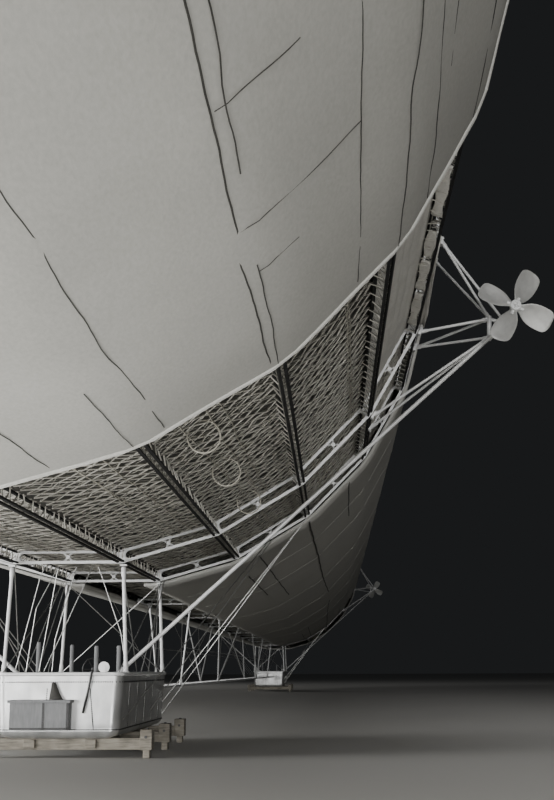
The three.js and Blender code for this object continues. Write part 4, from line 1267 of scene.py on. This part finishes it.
def pipe(end, station, y, top):
    # an upright pipe with a foot
    height, radius = top - boatFloor, trim["pipeRadius"]
    profile = [(0, 0.055), (0.02, 0.055), (0.03, radius), (height - 0.03, radius), (height, radius * 0.8)]
    return turned(at(end, station, y, boatFloor), at(end, station, y, top), profile, 12)


for name, end in ends.items():
    makePiece(f"boat_{name}", [boatShell(end)], sheetAluminium, replaces=f"gondola_{name}")
    makePiece(f"boat_strips_{name}", boatStrips(end), sheetAluminium)
    makePiece(f"boat_rivets_{name}", [boatRivets(end)], enamelledIron)
    makePiece(f"boat_pitch_{name}", boatPitch(end), tarredLacingAndCreaseShade)
    makePiece(f"boat_rail_{name}", gunwaleParts(end), rolledAluminium, replaces=f"gunwale_{name}")
    bend = at(end, *np.array(trim["rod"]).T)
    makePiece(f"boat_rod_{name}", [rods(bend[:-1], bend[1:], trim["rodRadius"], 8)], enamelledIron)
    makePiece(f"boat_pulley_{name}", pulleyParts(end), rolledAluminium)
    makePiece(f"boat_pipes_{name}", [pipe(end, *place) for place in trim["pipes"]], greyOilPaint)

print("engines")

engine = {
    "station": 30.2,
    # station, side and height, then half the length, width and height
    "case": [(30.2, 0, 0.13, 0.53, 0.16, 0.13), (30.2, 0, 0.225, 0.55, 0.22, 0.015),
             (30.2, 0, 0.29, 0.52, 0.17, 0.05), (29.3, 0, 0.1, 0.45, 0.06, 0.06)],
    "ribs": np.arange(-0.48, 0.5, 0.16),
    "rib": (0.17, 0.11, 0.012, 0.035, 0.11),
    "foot": (0.2, 0.02, 0.5, 0.02, 0.02),
    "cylinders": [29.79, 30.04, 30.29, 30.54],
    # profiles as distance along and radius
    "barrel": [(0, 0.105), (0.03, 0.105), (0.035, 0.09), (0.20, 0.09), (0.21, 0.098), (0.44, 0.098),
               (0.45, 0.108), (0.49, 0.108), (0.50, 0.08), (0.54, 0.07), (0.555, 0.03)],
    "port": [(0, 0.042), (0.06, 0.042), (0.07, 0.028), (0.15, 0.028)],
    "plug": [(0, 0.02), (0.05, 0.02), (0.06, 0.012), (0.075, 0.012)],
    "inlet": [(0, 0.02), (0.01, 0.033), (0.94, 0.033), (0.95, 0.02)],
    "barrelHeights": (0.305, 0.86),
    "portStart": 0.05,
    "plugPlace": (0.06, 0.78, 0.855),           # side, foot and top
    "inletSide": 0.2,
    "inletHeight": 0.74,
    "inletEnds": (29.7, 30.65),
    "crankHeight": 0.28,
    "flywheel": {"station": 30.78, "rim": 0.21, "section": (0.14, 0.05), "spoke": 0.022, "hub": 0.06,
                 "half": 0.08},
    "tailShaft": (30.8, 31.46),
    # the tail shaft has two couplings of two flanges each
    "tail": [(0, 0.03), (0.12, 0.03), (0.12, 0.075), (0.15, 0.075), (0.15, 0.055), (0.18, 0.055),
             (0.18, 0.075), (0.21, 0.075), (0.21, 0.03), (0.46, 0.03), (0.46, 0.075), (0.49, 0.075),
             (0.49, 0.055), (0.52, 0.055), (0.52, 0.075), (0.55, 0.075), (0.55, 0.03), (0.66, 0.03)]
}
radiator = {
    "station": 29.15,
    "halfWidth": 0.31,
    "height": 0.79,
    "tubes": 15,
    "tubeRows": (-0.03, 0, 0.03),
    "tubeRadius": 0.009,
    "fins": 26
}


def engineCase(end):
    rows = list(engine["case"])
    for side in (-1, 1):
        y, z, *half = engine["rib"]
        rows += [(engine["station"] + offset, side * y, z, *half) for offset in engine["ribs"]]
        y, z, *half = engine["foot"]
        rows.append((engine["station"], side * y, z, *half))
    return [blocks(end, rows)]


def engineTop(end):
    rows = []
    across, height, near = engine["inletSide"], engine["inletHeight"], engine["portStart"]
    (low, high), (side, foot, top) = engine["barrelHeights"], engine["plugPlace"]
    for x in engine["cylinders"]:
        rows.append(((x, 0, low), (x, 0, high), engine["barrel"], 18))
        rows += [((x, way * near, height), (x, way * across, height), engine["port"], 10) for way in (-1, 1)]
        rows.append(((x, side, foot), (x, side, top), engine["plug"], 8))
    start, stop = engine["inletEnds"]
    rows += [((start, way * across, height), (stop, way * across, height), engine["inlet"], 12)
             for way in (-1, 1)]
    return turnedIn(end, rows)


def acrossShip(turn):
    # directions round the ship's length: cosine to port and sine up
    return around(turn, np.array([0, 1.0, 0]), np.array([0, 0, 1.0]))


def engineDrive(end):
    wheel, height = engine["flywheel"], engine["crankHeight"]
    centre = inBoat(end, wheel["station"], 0, height)
    rim, spokes = acrossShip(turns(32)), acrossShip(turns(6))
    ends = [(wheel["station"] + way * wheel["half"], 0, height) for way in (-1, 1)]
    start, stop = engine["tailShaft"]
    return [sweep(centre + wheel["rim"] * rim, rectangle(*wheel["section"]), rim, wrap=True),
            rods(np.broadcast_to(centre, spokes.shape), centre + 0.2 * spokes, wheel["spoke"], 6),
            *turnedIn(end, [(*ends, [(0, wheel["hub"]), (2 * wheel["half"], wheel["hub"])], 14),
                            ((start, 0, height), (stop, 0, height), engine["tail"], 14)])]


def radiatorFrame(end):
    x, half, top = radiator["station"], radiator["halfWidth"], radiator["height"]
    rows = [(x, 0, height, 0.08, half, 0.04) for height in (0.04, top - 0.04)]
    rows += [(x, side * (half - 0.02), top / 2, 0.07, 0.02, top / 2 - 0.04) for side in (-1, 1)]
    return [blocks(end, rows), *turnedIn(end, [((x, 0, top - 0.04), (x, 0, top),
                                                [(0, 0.05), (0.03, 0.05), (0.04, 0.035)], 14)])]


def radiatorCore(end):
    x, half, top = radiator["station"], radiator["halfWidth"], radiator["height"]
    tubes = np.linspace(-half + 0.06, half - 0.06, radiator["tubes"])
    core = [rods(inBoat(end, x + row, tubes, 0.07), inBoat(end, x + row, tubes, top - 0.06),
                 radiator["tubeRadius"])
            for row in radiator["tubeRows"]]
    fins = np.linspace(0.09, top - 0.08, radiator["fins"])
    return core + [boxes(inBoat(end, x, 0, fins), (0.055, half - 0.03, 0.002))]


gearbox = {
    "station": 31.7,
    "halfLength": 0.20,
    "halfWidth": 0.22,
    "height": 0.42,
    "input": 0.28,
    "ribs": (-0.1, 0, 0.1),
    "bolts": np.array([-0.16, -0.05, 0.05, 0.16]),
    "inlet": [(0, 0.05), (0.03, 0.06), (0.07, 0.09)],
    "output": [(0, 0.06), (0.10, 0.06), (0.10, 0.052), (0.25, 0.052), (0.25, 0.06), (0.37, 0.06)]
}
drive = {
    "meeting": (31.7, 0.0, -8.065),  # where the two shafts of a gondola would meet: station, side, height
    "bearing": (32.15, 6.77, -2.09),
    "hub": (32.95, 6.77, -2.09),
    "shaftRadius": 0.03,
    "couplingRadius": 0.06,
    "lowerStub": 0.52,
    "upperStub": 0.24,
    "couplingLength": 0.14,
    "endPlay": 0.01
}
shaftRise = np.subtract(drive["bearing"], drive["meeting"])
shaftLength = float(np.linalg.norm(shaftRise))


def alongShaft(end, side, distance):
    # the sloping shaft: from the meeting point along the line to the bearing behind the propeller
    station, y, z = drive["meeting"] + shaftRise * distance / shaftLength
    return at(end, station, side * y, z)


def gearboxParts(end):
    x, height, flange, width = (gearbox[key] for key in ("station", "height", "halfLength", "halfWidth"))
    body = width - 0.03
    parts = [blocks(end, [(x, 0, height / 2 - 0.01, flange - 0.03, body, height / 2 - 0.02),
                          (x, 0, height / 2, flange, width, 0.014), (x, 0, 0.015, flange, width, 0.015),
                          (x, 0, height - 0.015, 0.10, 0.12, 0.015)])]
    for side in (-1, 1):
        parts.append(blocks(end, [(x + rib, side * body, 0.12, 0.01, 0.025, 0.12)
                                  for rib in gearbox["ribs"]]))
        parts.append(turned(alongShaft(end, side, 0.15), alongShaft(end, side, drive["lowerStub"]),
                            gearbox["output"], 14))
    edge, level = x + gearbox["bolts"], height / 2 + 0.014
    parts += [bolts(inBoat(end, edge, side * 0.205, level), [0, 0, 1], 0.01, 0.012) for side in (-1, 1)]
    inlet = (x - flange - 0.03, 0, gearbox["input"])
    return parts + turnedIn(end, [(inlet, (x, 0, gearbox["input"]), gearbox["inlet"], 14)])


for name, end in ends.items():
    makePiece(f"engine_case_{name}", engineCase(end), enamelledIron, replaces=f"engine_{name}", bevel=0.008)
    makePiece(f"engine_top_{name}", engineTop(end) + engineDrive(end), enamelledIron)
    makePiece(f"radiator_{name}", radiatorFrame(end), sheetAluminium, bevel=0.008)
    makePiece(f"radiator_core_{name}", radiatorCore(end), drawnSteel)
    makePiece(f"gear_case_{name}", gearboxParts(end), enamelledIron, replaces=f"gearbox_{name}", bevel=0.006)

print("lockers and stands")

locker = {
    "wallFace": 32.363,
    "side": 0.23,
    # length, width, lower and upper face
    "box": (0.22, 0.86, -8.18, -7.79),
    "lid": (0.25, 0.92, -7.80, -7.76),
    "joint": 0.17,
    "edgeRivet": (0.008, 0.006),
    "strapRivet": (0.009, 0.007),
    "bagHeight": 0.235
}
stand = {"station": 28.0, "side": 0.3, "top": 0.97, "axle": 0.95, "wheel": 0.19, "reach": 0.17}
plateCorners = np.array([[-1, -1], [-1, 1], [1, -1], [1, 1]])


def lockerBox(end):
    return [boxes(at(end, locker["wallFace"] + length / 2, locker["side"], (low + high) / 2),
                  (length / 2, width / 2, (high - low) / 2))
            for length, width, low, high in (locker["box"], locker["lid"])]


def lockerIrons(end):
    # rivets round the edge of the locker's face, and the straps they hold
    length, width, low, high = locker["box"]
    face, middle, half = locker["wallFace"] + length, locker["side"], width / 2
    edge = np.linspace(middle - half + 0.03, middle + half - 0.03, 20)
    upright = np.linspace(low + 0.05, high - 0.05, 9)
    rivets = [bolts(at(end, face, edge, low + 0.025), [end, 0, 0], *locker["edgeRivet"])]
    irons = []
    for y in (middle - half + 0.02, locker["joint"]):
        rivets.append(bolts(at(end, face + 0.004, y, upright), [end, 0, 0], *locker["strapRivet"]))
        irons.append(boxes(at(end, face + 0.002, y, (low + high) / 2),
                           (0.003, 0.016, (high - low) / 2 - 0.01)))
    return rivets + irons + [boxes(at(end, face + 0.002, middle, low + 0.02), (0.003, half - 0.01, 0.014))]


def bagParts(end):
    # a small tarred bag that leans against the wall on the lid: rows that narrow and lean as they rise
    rise = np.linspace(0, 1, 9)[:, None]
    turn = turns(14)
    bulge = 1 + 0.06 * np.sin(3 * turn + 5 * rise)
    y = 0.02 + 0.05 * rise + (0.105 - 0.075 * rise ** 0.8) * np.cos(turn) * bulge
    station = locker["wallFace"] + 0.075 - 0.03 * rise + (0.05 - 0.03 * rise) * np.sin(turn) * bulge
    grid = at(end, station, y, locker["lid"][3] + 0.003 + locker["bagHeight"] * rise)
    return [drawnTogether(grid, grid[0].mean(axis=0), grid[-1].mean(axis=0) + [0, 0, 0.012], end == -1)]


def standParts(end):
    # a pillar on a plate, with a short axle and a steering wheel across the ship
    x, y, top, axle = stand["station"], stand["side"], stand["top"], stand["axle"]
    pillar = [(0, 0.10), (0.04, 0.10), (0.07, 0.05), (0.16, 0.032), (top - 0.12, 0.026), (top - 0.08, 0.04),
              (top - 0.02, 0.04), (top, 0.02)]
    sleeve = [(0, 0.025), (0.14, 0.025), (0.14, 0.045), (0.17, 0.045), (0.18, 0.03)]
    centre, spoke, edge = inBoat(end, x + stand["reach"], y, axle), acrossShip(turns(6)), plateCorners * 0.12
    return [blocks(end, [(x, y, 0.015, 0.15, 0.15, 0.015)]),
            *turnedIn(end, [((x, y, 0.0), (x, y, top), pillar, 16),
                            ((x, y, axle), (x + 0.18, y, axle), sleeve, 14)]),
            torus(centre, stand["wheel"], 0.014, 36, 8),
            rods(np.broadcast_to(centre, spoke.shape), centre + 0.215 * spoke, 0.009, 6),
            bolts(inBoat(end, x + edge[:, 0], y + edge[:, 1], 0.03), [0, 0, 1], 0.012, 0.012)]


for name, end in ends.items():
    makePiece(f"locker_box_{name}", lockerBox(end), greyOilPaint, replaces=f"locker_{name}", bevel=0.006)
    makePiece(f"locker_irons_{name}", lockerIrons(end), enamelledIron)
    makePiece(f"locker_bag_{name}", bagParts(end), tarredLacingAndCreaseShade, sharp=60)
    makePiece(f"stand_{name}", standParts(end), enamelledIron, replaces=f"steering_stand_{name}")

print("cradles")

cradle = {
    "beams": boat["middle"] + np.array([-2.0, 0, 2.0]),
    "halfLength": 1.34,
    "beam": (0.22, -8.48, -8.313),              # width, lower and upper face
    "block": (0.28, 0.17, -8.19),               # along the ship, across it, upper face
    "leg": (0.16, 0.10),
    "bearer": (4.4, 0.16, 0.12),                # along the ship, across it, height
    "bearerY": 0.45,
    "bearerDrop": 0.02,
    "bolt": (0.022, 0.016),                     # radius and height
    "boltLevel": -8.3
}


def timber(end, station, y, low, high, sizeX, sizeY):
    return boxes(at(end, station, y, (low + high) / 2), (sizeX / 2, sizeY / 2, (high - low) / 2))


def cradleParts(end):
    beams, (width, bottom, top), (long, wide, blockTop) = cradle["beams"], cradle["beam"], cradle["block"]
    reach, across, thick = cradle["bearer"]
    level = top - cradle["bearerDrop"]
    timbers, irons = [timber(end, beams, 0, bottom, top, width, 2 * cradle["halfLength"])], []
    for side in (-1, 1):
        y = side * (cradle["halfLength"] - wide / 2)
        timbers += [timber(end, beams, y, bottom - 0.004, blockTop, long, wide + 0.006),
                    timber(end, beams, y, -axisHeight, bottom, *cradle["leg"]),
                    timber(end, boat["middle"], side * cradle["bearerY"], level - thick, level, reach,
                           across)]
        irons.append(bolts(at(end, beams, y, blockTop), [0, 0, 1], *cradle["bolt"]))
        irons += [bolts(at(end, beams + face * long / 2, y, cradle["boltLevel"]), [face * end, 0, 0],
                        *cradle["bolt"]) for face in (-1, 1)]
    return timbers, irons


for name, end in ends.items():
    timbers, irons = cradleParts(end)
    makePiece(f"cradle_timbers_{name}", timbers, weatheredPine, replaces=f"cradle_{name}", bevel=0.010)
    makePiece(f"cradle_irons_{name}", irons, enamelledIron)

print("propellers, shafts and brackets")

bracket = {
    # station, side and height
    "head": (31.97, 6.51, -2.00),
    "heel": (31.97, 6.49, -2.30),
    "back": (31.97, 6.77, -2.09),
    "post": (0.036, 1.1, 0.06),
    "housing": [(0, 0.07), (0.01, 0.10), (0.05, 0.10), (0.07, 0.085), (0.16, 0.085), (0.20, 0.11),
                (0.36, 0.11), (0.39, 0.09), (0.40, 0.06)],
    "shaftEnd": [(0, 0.06), (0.10, 0.075), (0.16, 0.075), (0.17, 0.058), (0.24, 0.058)],
    "nose": [(0, 0.06), (0.30, 0.05), (0.50, 0.045), (0.50, 0.05), (0.57, 0.05)],
    "noseGap": 0.23,
    "foot": np.array([0.14, 0.12, 0.06]),
    "boltSeat": 0.018,
    "bolt": (0.010, 0.012),         # radius and height
    "seats": {32: 5.853, 31: 5.839},    # distance of the feet's middles from the axis, by station
    # part of the bracket it starts from, station of its foot, hull corner, radius
    "struts": [("head", 32, 5, 0.022), ("back", 32, 5, 0.022), ("head", 31, 5, 0.020), ("head", 32, 4, 0.022),
               ("head", 31, 4, 0.020), ("heel", 31, 4, 0.020), ("heel", 32, 3, 0.022), ("heel", 31, 3, 0.022)]
}
propeller = {
    "radius": 0.585,
    "thickness": 0.011,
    "camber": 0.020,
    "camberWidth": 0.36,
    "turns": math.radians(29) + turns(4),       # of the blades, from straight up towards starboard
    "radii": np.array([0.05, 0.09, 0.14, 0.20, 0.27, 0.34, 0.41, 0.47, 0.52, 0.55, 0.572, 0.585]),
    "widths": np.array([0.11, 0.15, 0.22, 0.29, 0.335, 0.355, 0.36, 0.355, 0.335, 0.29, 0.22, 0.10]),
    "twist": np.radians([38, 36, 33, 30, 27.5, 26, 25, 24.5, 24, 24, 24, 24]),
    # the boss from behind to its face, with a rim and a shallow well
    "boss": [(0, 0.045), (0.14, 0.045), (0.14, 0.06), (0.16, 0.078), (0.20, 0.083), (0.285, 0.083),
             (0.295, 0.075), (0.295, 0.058), (0.288, 0.055), (0.288, 0.03), (0.30, 0.02)]
}


def bladeParts(hub, turn):
    # a lens-shaped section at each radius, as wide as the table says and turned by the twist
    radii, widths, twist = propeller["radii"], propeller["widths"][:, None], propeller["twist"]
    span, axis = np.array([0, -math.sin(turn), math.cos(turn)]), np.array([1.0, 0, 0])
    tangent = np.array([0, math.cos(turn), math.sin(turn)])
    chord, face = around(twist, tangent, -axis), around(twist, axis, tangent)
    share, lens = np.cos(turns(24)), np.sin(turns(24))
    thin = propeller["thickness"] * (1 - 0.55 * radii / propeller["radius"]) + 0.012 * np.exp(-radii / 0.05)
    bulge = (lens * thin[:, None]
             + propeller["camber"] * (1 - share ** 2) * (widths / propeller["camberWidth"]))
    across = share * widths / 2
    return capped(hub + radii[:, None, None] * span + across[..., None] * chord[:, None]
                  + bulge[..., None] * face[:, None], flip=True)


def propellerHub(end, hub):
    # boss with a bright rim, a socket for each blade and a cross of four bolts on its face
    out = np.array([end, 0, 0.0])
    spans = around(propeller["turns"], np.array([0, 0, 1.0]), np.array([0, -1.0, 0]))
    face = hub + 0.077 * out
    return [turned(hub - 0.22 * out, hub + 0.08 * out, propeller["boss"], 24),
            rods(hub + 0.03 * spans, hub + 0.135 * spans, 0.028, 12),
            rods(np.broadcast_to(face, spans.shape), face + 0.05 * spans, 0.010, 8)]


def shaftParts(end, side):
    # a thin shaft with a flanged coupling at each end
    start = drive["lowerStub"] + drive["endPlay"]
    stop = shaftLength - drive["upperStub"] - drive["endPlay"]
    thick, thin, sleeve = drive["couplingRadius"], drive["shaftRadius"], drive["couplingLength"]
    half = [(0, thick * 0.9), (0.005, thick), (0.03, thick), (0.03, thick * 0.8), (0.055, thick * 0.8),
            (0.055, thick), (0.085, thick), (0.085, 0.042), (sleeve, 0.042), (sleeve + 0.02, thin)]
    profile = half + [(stop - start - distance, radius) for distance, radius in half[::-1]]
    return [turned(alongShaft(end, side, start), alongShaft(end, side, stop), profile, 16)]


def bracketParts(end, side):
    def spot(station, y, z):
        return at(end, station, side * y, z)

    starts = {name: spot(*bracket[name]) for name in ("head", "heel", "back")}
    head, heel, back = starts.values()
    hub, nose = spot(*drive["bearing"]), spot(drive["hub"][0] - bracket["noseGap"], *drive["hub"][1:])
    along = unit(hub - back)
    parts = [strut(head + [0, 0, 0.05], heel - [0, 0, 0.05], *bracket["post"]),
             rods([head, heel], [back, back], 0.028, 10),
             turned(back - 0.11 * along, hub + 0.11 * along, bracket["housing"], 20),
             turned(hub, alongShaft(end, side, shaftLength - drive["upperStub"]), bracket["shaftEnd"], 16),
             turned(hub, nose, bracket["nose"], 16)]
    feet = {}
    for start, station, corner, radius in bracket["struts"]:
        angle, seat = corners[corner], bracket["seats"][station]
        foot = spot(station, seat * math.sin(angle), -seat * math.cos(angle))
        feet[(station, corner)] = (foot, side * angle)
        parts.append(strut(foot, starts[start], radius, 1.5, 0.09))
    for foot, angle in feet.values():
        cosine, sine = math.cos(angle), math.sin(angle)
        axes = np.array([[1, 0, 0], [0, cosine, sine], [0, sine, -cosine]])
        parts.append(boxes(foot, bracket["foot"] / 2 * [1, 1, 0.6], [axes]))
        heads = foot + plateCorners * (bracket["foot"][:2] / 2 - 0.02) @ axes[:2]
        parts.append(bolts(heads + bracket["boltSeat"] * axes[2], axes[2], *bracket["bolt"]))
    return parts


for name, end in ends.items():
    for flank, side in flanks.items():
        place = f"{name}_{flank}"
        x, y, z = drive["hub"]
        hub = at(end, x, side * y, z)
        makePiece(f"blades_{place}", [bladeParts(hub, turn) for turn in propeller["turns"]], wipedAluminium,
                  f"propeller_{place}", replaces=f"propeller_{place}", sharp=60)
        makePiece(f"boss_{place}", propellerHub(end, hub), rolledAluminium, f"propeller_{place}")
        makePiece(f"drive_shaft_{place}", shaftParts(end, side), rolledAluminium, f"shaft_{place}",
                  replaces=f"shaft_{place}")
        makePiece(f"bracket_{place}", bracketParts(end, side), rolledAluminium, replaces=f"outrigger_{place}")

print("rudders")

rudder = {
    "station": 57.0,
    "chord": 1.5,
    "lead": 0.12,
    "height": 1.8,
    "lowerEdge": 3.55,
    "sideY": 4.05,
    "armReach": 0.85,
    "arm": 0.07,
    "pinGap": 0.02,
    "pinEnd": 0.05,
    "half": 0.021,                  # half the thickness at a rib, and how much less it is between two
    "sink": 0.011,
    "panels": (3, 4),               # panels of cloth between ribs, along and up
    "tube": 0.024,
    "eye": (0.055, 0.035),          # radius and half length
    "brace": (0.025, 1.4),          # radius, and how much wider it is at its ends
    # how far from the axis the frames end, as shares of the cover's radius
    "rootShare": 0.992,
    "plateShare": 0.994,
    "braceShare": 0.995,
    "spar": [(0, 0.038), (0.05, 0.038), (0.05, 0.03), (1.85, 0.03), (1.85, 0.038), (1.90, 0.038)]
}


def rudderCloth(pin, lowerZ):
    # two faces of cotton that sink between the ribs: half the thickness times a row of arches each way
    along = np.linspace(0.01, rudder["chord"] - 0.01, 25)[:, None]
    up = np.linspace(0.01, rudder["height"] - 0.01, 33)
    aft, high = rudder["panels"]
    alongPanels = np.sin(np.pi * aft * along / rudder["chord"])
    upPanels = np.sin(np.pi * high * up / rudder["height"])
    arches = np.abs(alongPanels * upPanels)
    half = rudder["half"] - rudder["sink"] * arches
    front, back = (at(1, pin[0] + rudder["lead"] - along, pin[1] + face * half, lowerZ + up)
                   for face in (1, -1))
    return plate(front, back)


def rudderTubes(pin, lowerZ):
    front, rear = pin[0] + rudder["lead"] - 0.02, pin[0] + rudder["lead"] - rudder["chord"] + 0.02
    low, high = axisHeight + lowerZ + 0.02, axisHeight + lowerZ + rudder["height"] - 0.02
    loop = np.array([[x, pin[1], z] for x, z in ((front, low), (front, high), (rear, high), (rear, low))])
    beyond = rudder["pinEnd"] + 0.02
    return [rods(loop, np.roll(loop, -1, axis=0), rudder["tube"], 10),
            turned([*pin, low - beyond], [*pin, high + beyond], rudder["spar"], 14)]


def addRudder(name, pin, lowerZ):
    piece = makePiece(f"{name}_cloth", [rudderCloth(pin, lowerZ)], dopedCotton, name, replaces=name, sharp=30)
    faceOutwards(piece)
    makePiece(f"{name}_tubes", rudderTubes(pin, lowerZ), rolledAluminium, name)


def eye(place):
    # a short sleeve round the end of the spar
    radius, half = rudder["eye"]
    return turned(place - [0, 0, half], place + [0, 0, half], [(0, radius), (2 * half, radius)], 16)


def brace(head, aim):
    # a strut to the place where the line from head to aim meets the cover
    line = head + (aim - head) * np.linspace(0, 1, 400)[:, None]
    away = np.hypot(line[:, 1], line[:, 2] - axisHeight)
    seat = line[np.argmax(away < coverRadius(np.abs(line[:, 0])) * rudder["braceShare"])]
    return strut(seat, head, *rudder["brace"])


def bowRudderFrame(up):
    # a post behind the rudder, an arm to each end of its spar, and two braces down to the hull
    x, reach, arm = rudder["station"], rudder["armReach"], rudder["arm"]
    near = rudder["lowerEdge"] - rudder["pinEnd"] - rudder["pinGap"]
    far = rudder["lowerEdge"] + rudder["height"] + rudder["pinEnd"] + rudder["pinGap"]
    foot = float(coverRadius(x + reach)) * rudder["rootShare"] - 0.02
    parts = [boxes(at(1, x + reach, 0, up * (far + arm + foot) / 2), (0.035, 0.035, (far + arm - foot) / 2)),
             boxes(at(1, x + reach, 0, up * (foot + 0.03)), (0.14, 0.10, 0.02))]
    for z, way in ((near - arm / 2, 1), (far + arm / 2, -1)):
        parts += [boxes(at(1, x + reach / 2 + 0.02, 0, up * z), (reach / 2 + 0.02, 0.03, 0.03)),
                  eye(at(1, x, 0, up * z)),
                  rods(at(1, x + reach - 0.035, 0, up * (z + way * 0.155)),
                       at(1, x + reach - 0.20, 0, up * z), 0.014, 8)]
    head = at(1, x + reach, 0, up * (far - 0.2))
    return parts + [brace(head, at(1, x + reach + 0.3, side * 1.5, up * 1.5)) for side in (-1, 1)]


def sternRudderFrame(side):
    # an arm to each end of the rudder's spar with a brace, and a plate on the hull between the arms
    x, y = rudder["station"], rudder["sideY"]
    level = rudder["height"] / 2 + rudder["pinEnd"] + rudder["pinGap"] + rudder["arm"] / 2
    root = math.sqrt((float(coverRadius(x)) * rudder["rootShare"]) ** 2 - level ** 2) - 0.02
    parts = []
    for z in (-level, level):
        parts += [boxes(at(-1, x, side * (root + y + 0.02) / 2, z), (0.03, (y + 0.02 - root) / 2, 0.03)),
                  eye(at(-1, x, side * y, z)),
                  brace(at(-1, x, side * (y - 0.2), z), at(-1, x - 1.6, side * 2.4, z))]
    z = np.linspace(-level - 0.14, level + 0.14, 9)
    y = side * np.sqrt((float(coverRadius(x)) * rudder["plateShare"]) ** 2 - z ** 2)
    return parts + [sweep(at(-1, x, y, z), rectangle(0.46, 0.05), unit(np.stack([0 * z, y, z], axis=-1)))]


for name, up in (("upper", 1), ("lower", -1)):
    lowerZ = rudder["lowerEdge"] if up == 1 else -rudder["lowerEdge"] - rudder["height"]
    addRudder(f"rudder_bow_{name}", (rudder["station"], 0.0), lowerZ)
    makePiece(f"bow_rudder_frame_{name}", bowRudderFrame(up), rolledAluminium,
              replaces=f"rudder_frame_bow_{name}")
for flank, side in flanks.items():
    addRudder(f"rudder_stern_{flank}", (-rudder["station"], side * rudder["sideY"]), -rudder["height"] / 2)
    makePiece(f"stern_rudder_frame_{flank}", sternRudderFrame(side), rolledAluminium,
              replaces=f"rudder_frame_stern_{flank}")

print("stays")

stays = {
    "radius": 0.0085,
    # hand ropes from the hull down to the gondola: side and height of each place they pass
    "ropes": [
        [(0.25, -5.77), (0.37, -6.01), (0.57, -6.41), (0.69, -7.36)],
        [(0.25, -5.77), (0.30, -6.12), (0.49, -7.36)],
        [(-0.29, -5.77), (-0.157, -6.075), (0.109, -6.68), (0.417, -7.36)],
        [(-0.38, -5.77), (-0.575, -6.30), (-0.752, -6.775), (-0.85, -7.36)],
        [(-0.04, -5.77), (0.05, -6.105), (0.26, -6.88), (0.29, -7.36)],
        [(0.46, -5.77), (0.53, -5.95), (0.86, -7.36)]
    ],
    "ropeStation": 31.55,
    "ropeRadius": 0.0075,
    # from the gondola (station, side, height) to a ring: station, corner, share of the way to the next corner
    "lines": [
        ((31.0, 0.93, -7.39), (32.0, 0, 0.0)),
        ((29.0, 0.93, -7.39), (28.0, 0, 0.0)),
        ((32.3, 0.86, -7.39), (28.0, 0, 0.05)),
        ((30.6, 0.93, -7.39), (28.0, 0, 0.08)),
        ((29.8, 0.93, -7.39), (28.0, 0, 0.03)),
        ((32.0, 0.90, -8.05), (28.0, 1, 0.46)),
        ((29.3, 0.90, -8.00), (28.0, 1, 0.52)),
        ((27.8, 0.90, -8.10), (28.0, 2, 0.0)),
        ((27.8, 0.90, -7.90), (28.0, 2, 0.03))
    ]
}


for name, end in ends.items():
    # taut wires, the same on both sides of each gondola; the last pair crosses between the inner posts
    spans = []
    for (x, y, z), (station, corner, share) in stays["lines"]:
        angle = corners[corner] + share * cornerStep
        radius = hull["ringRadius"] * float(sideShare(angle)) - 0.01
        spans += [(at(end, x, side * y, z), onHull(end, station, side * angle, radius)) for side in (-1, 1)]
    inner = posts["stations"][0]
    spans += [(at(end, inner, side * posts["footY"], boat["railTop"] - 0.02),
               at(end, inner, -side * posts["headY"], padTop - 0.03)) for side in (-1, 1)]
    wires = [rods(*zip(*spans), stays["radius"], 5)]
    for rope in stays["ropes"]:
        bend = at(end, stays["ropeStation"], *np.array(rope).T)
        wires.append(rods(bend[:-1], bend[1:], stays["ropeRadius"], 5))
    makePiece(f"stays_{name}", wires, drawnSteel)

print("floor and size")

floor = bpy.data.objects.new("floor", bpy.data.meshes.new("floor"))
half = studio["floorSize"] / 2
square = [(-half, -half, 0), (half, -half, 0), (half, half, 0), (-half, half, 0)]
floor.data.from_pydata(square, [], [(0, 1, 2, 3)])
floor.data.materials.append(palePaint)
bpy.context.scene.collection.objects.link(floor)
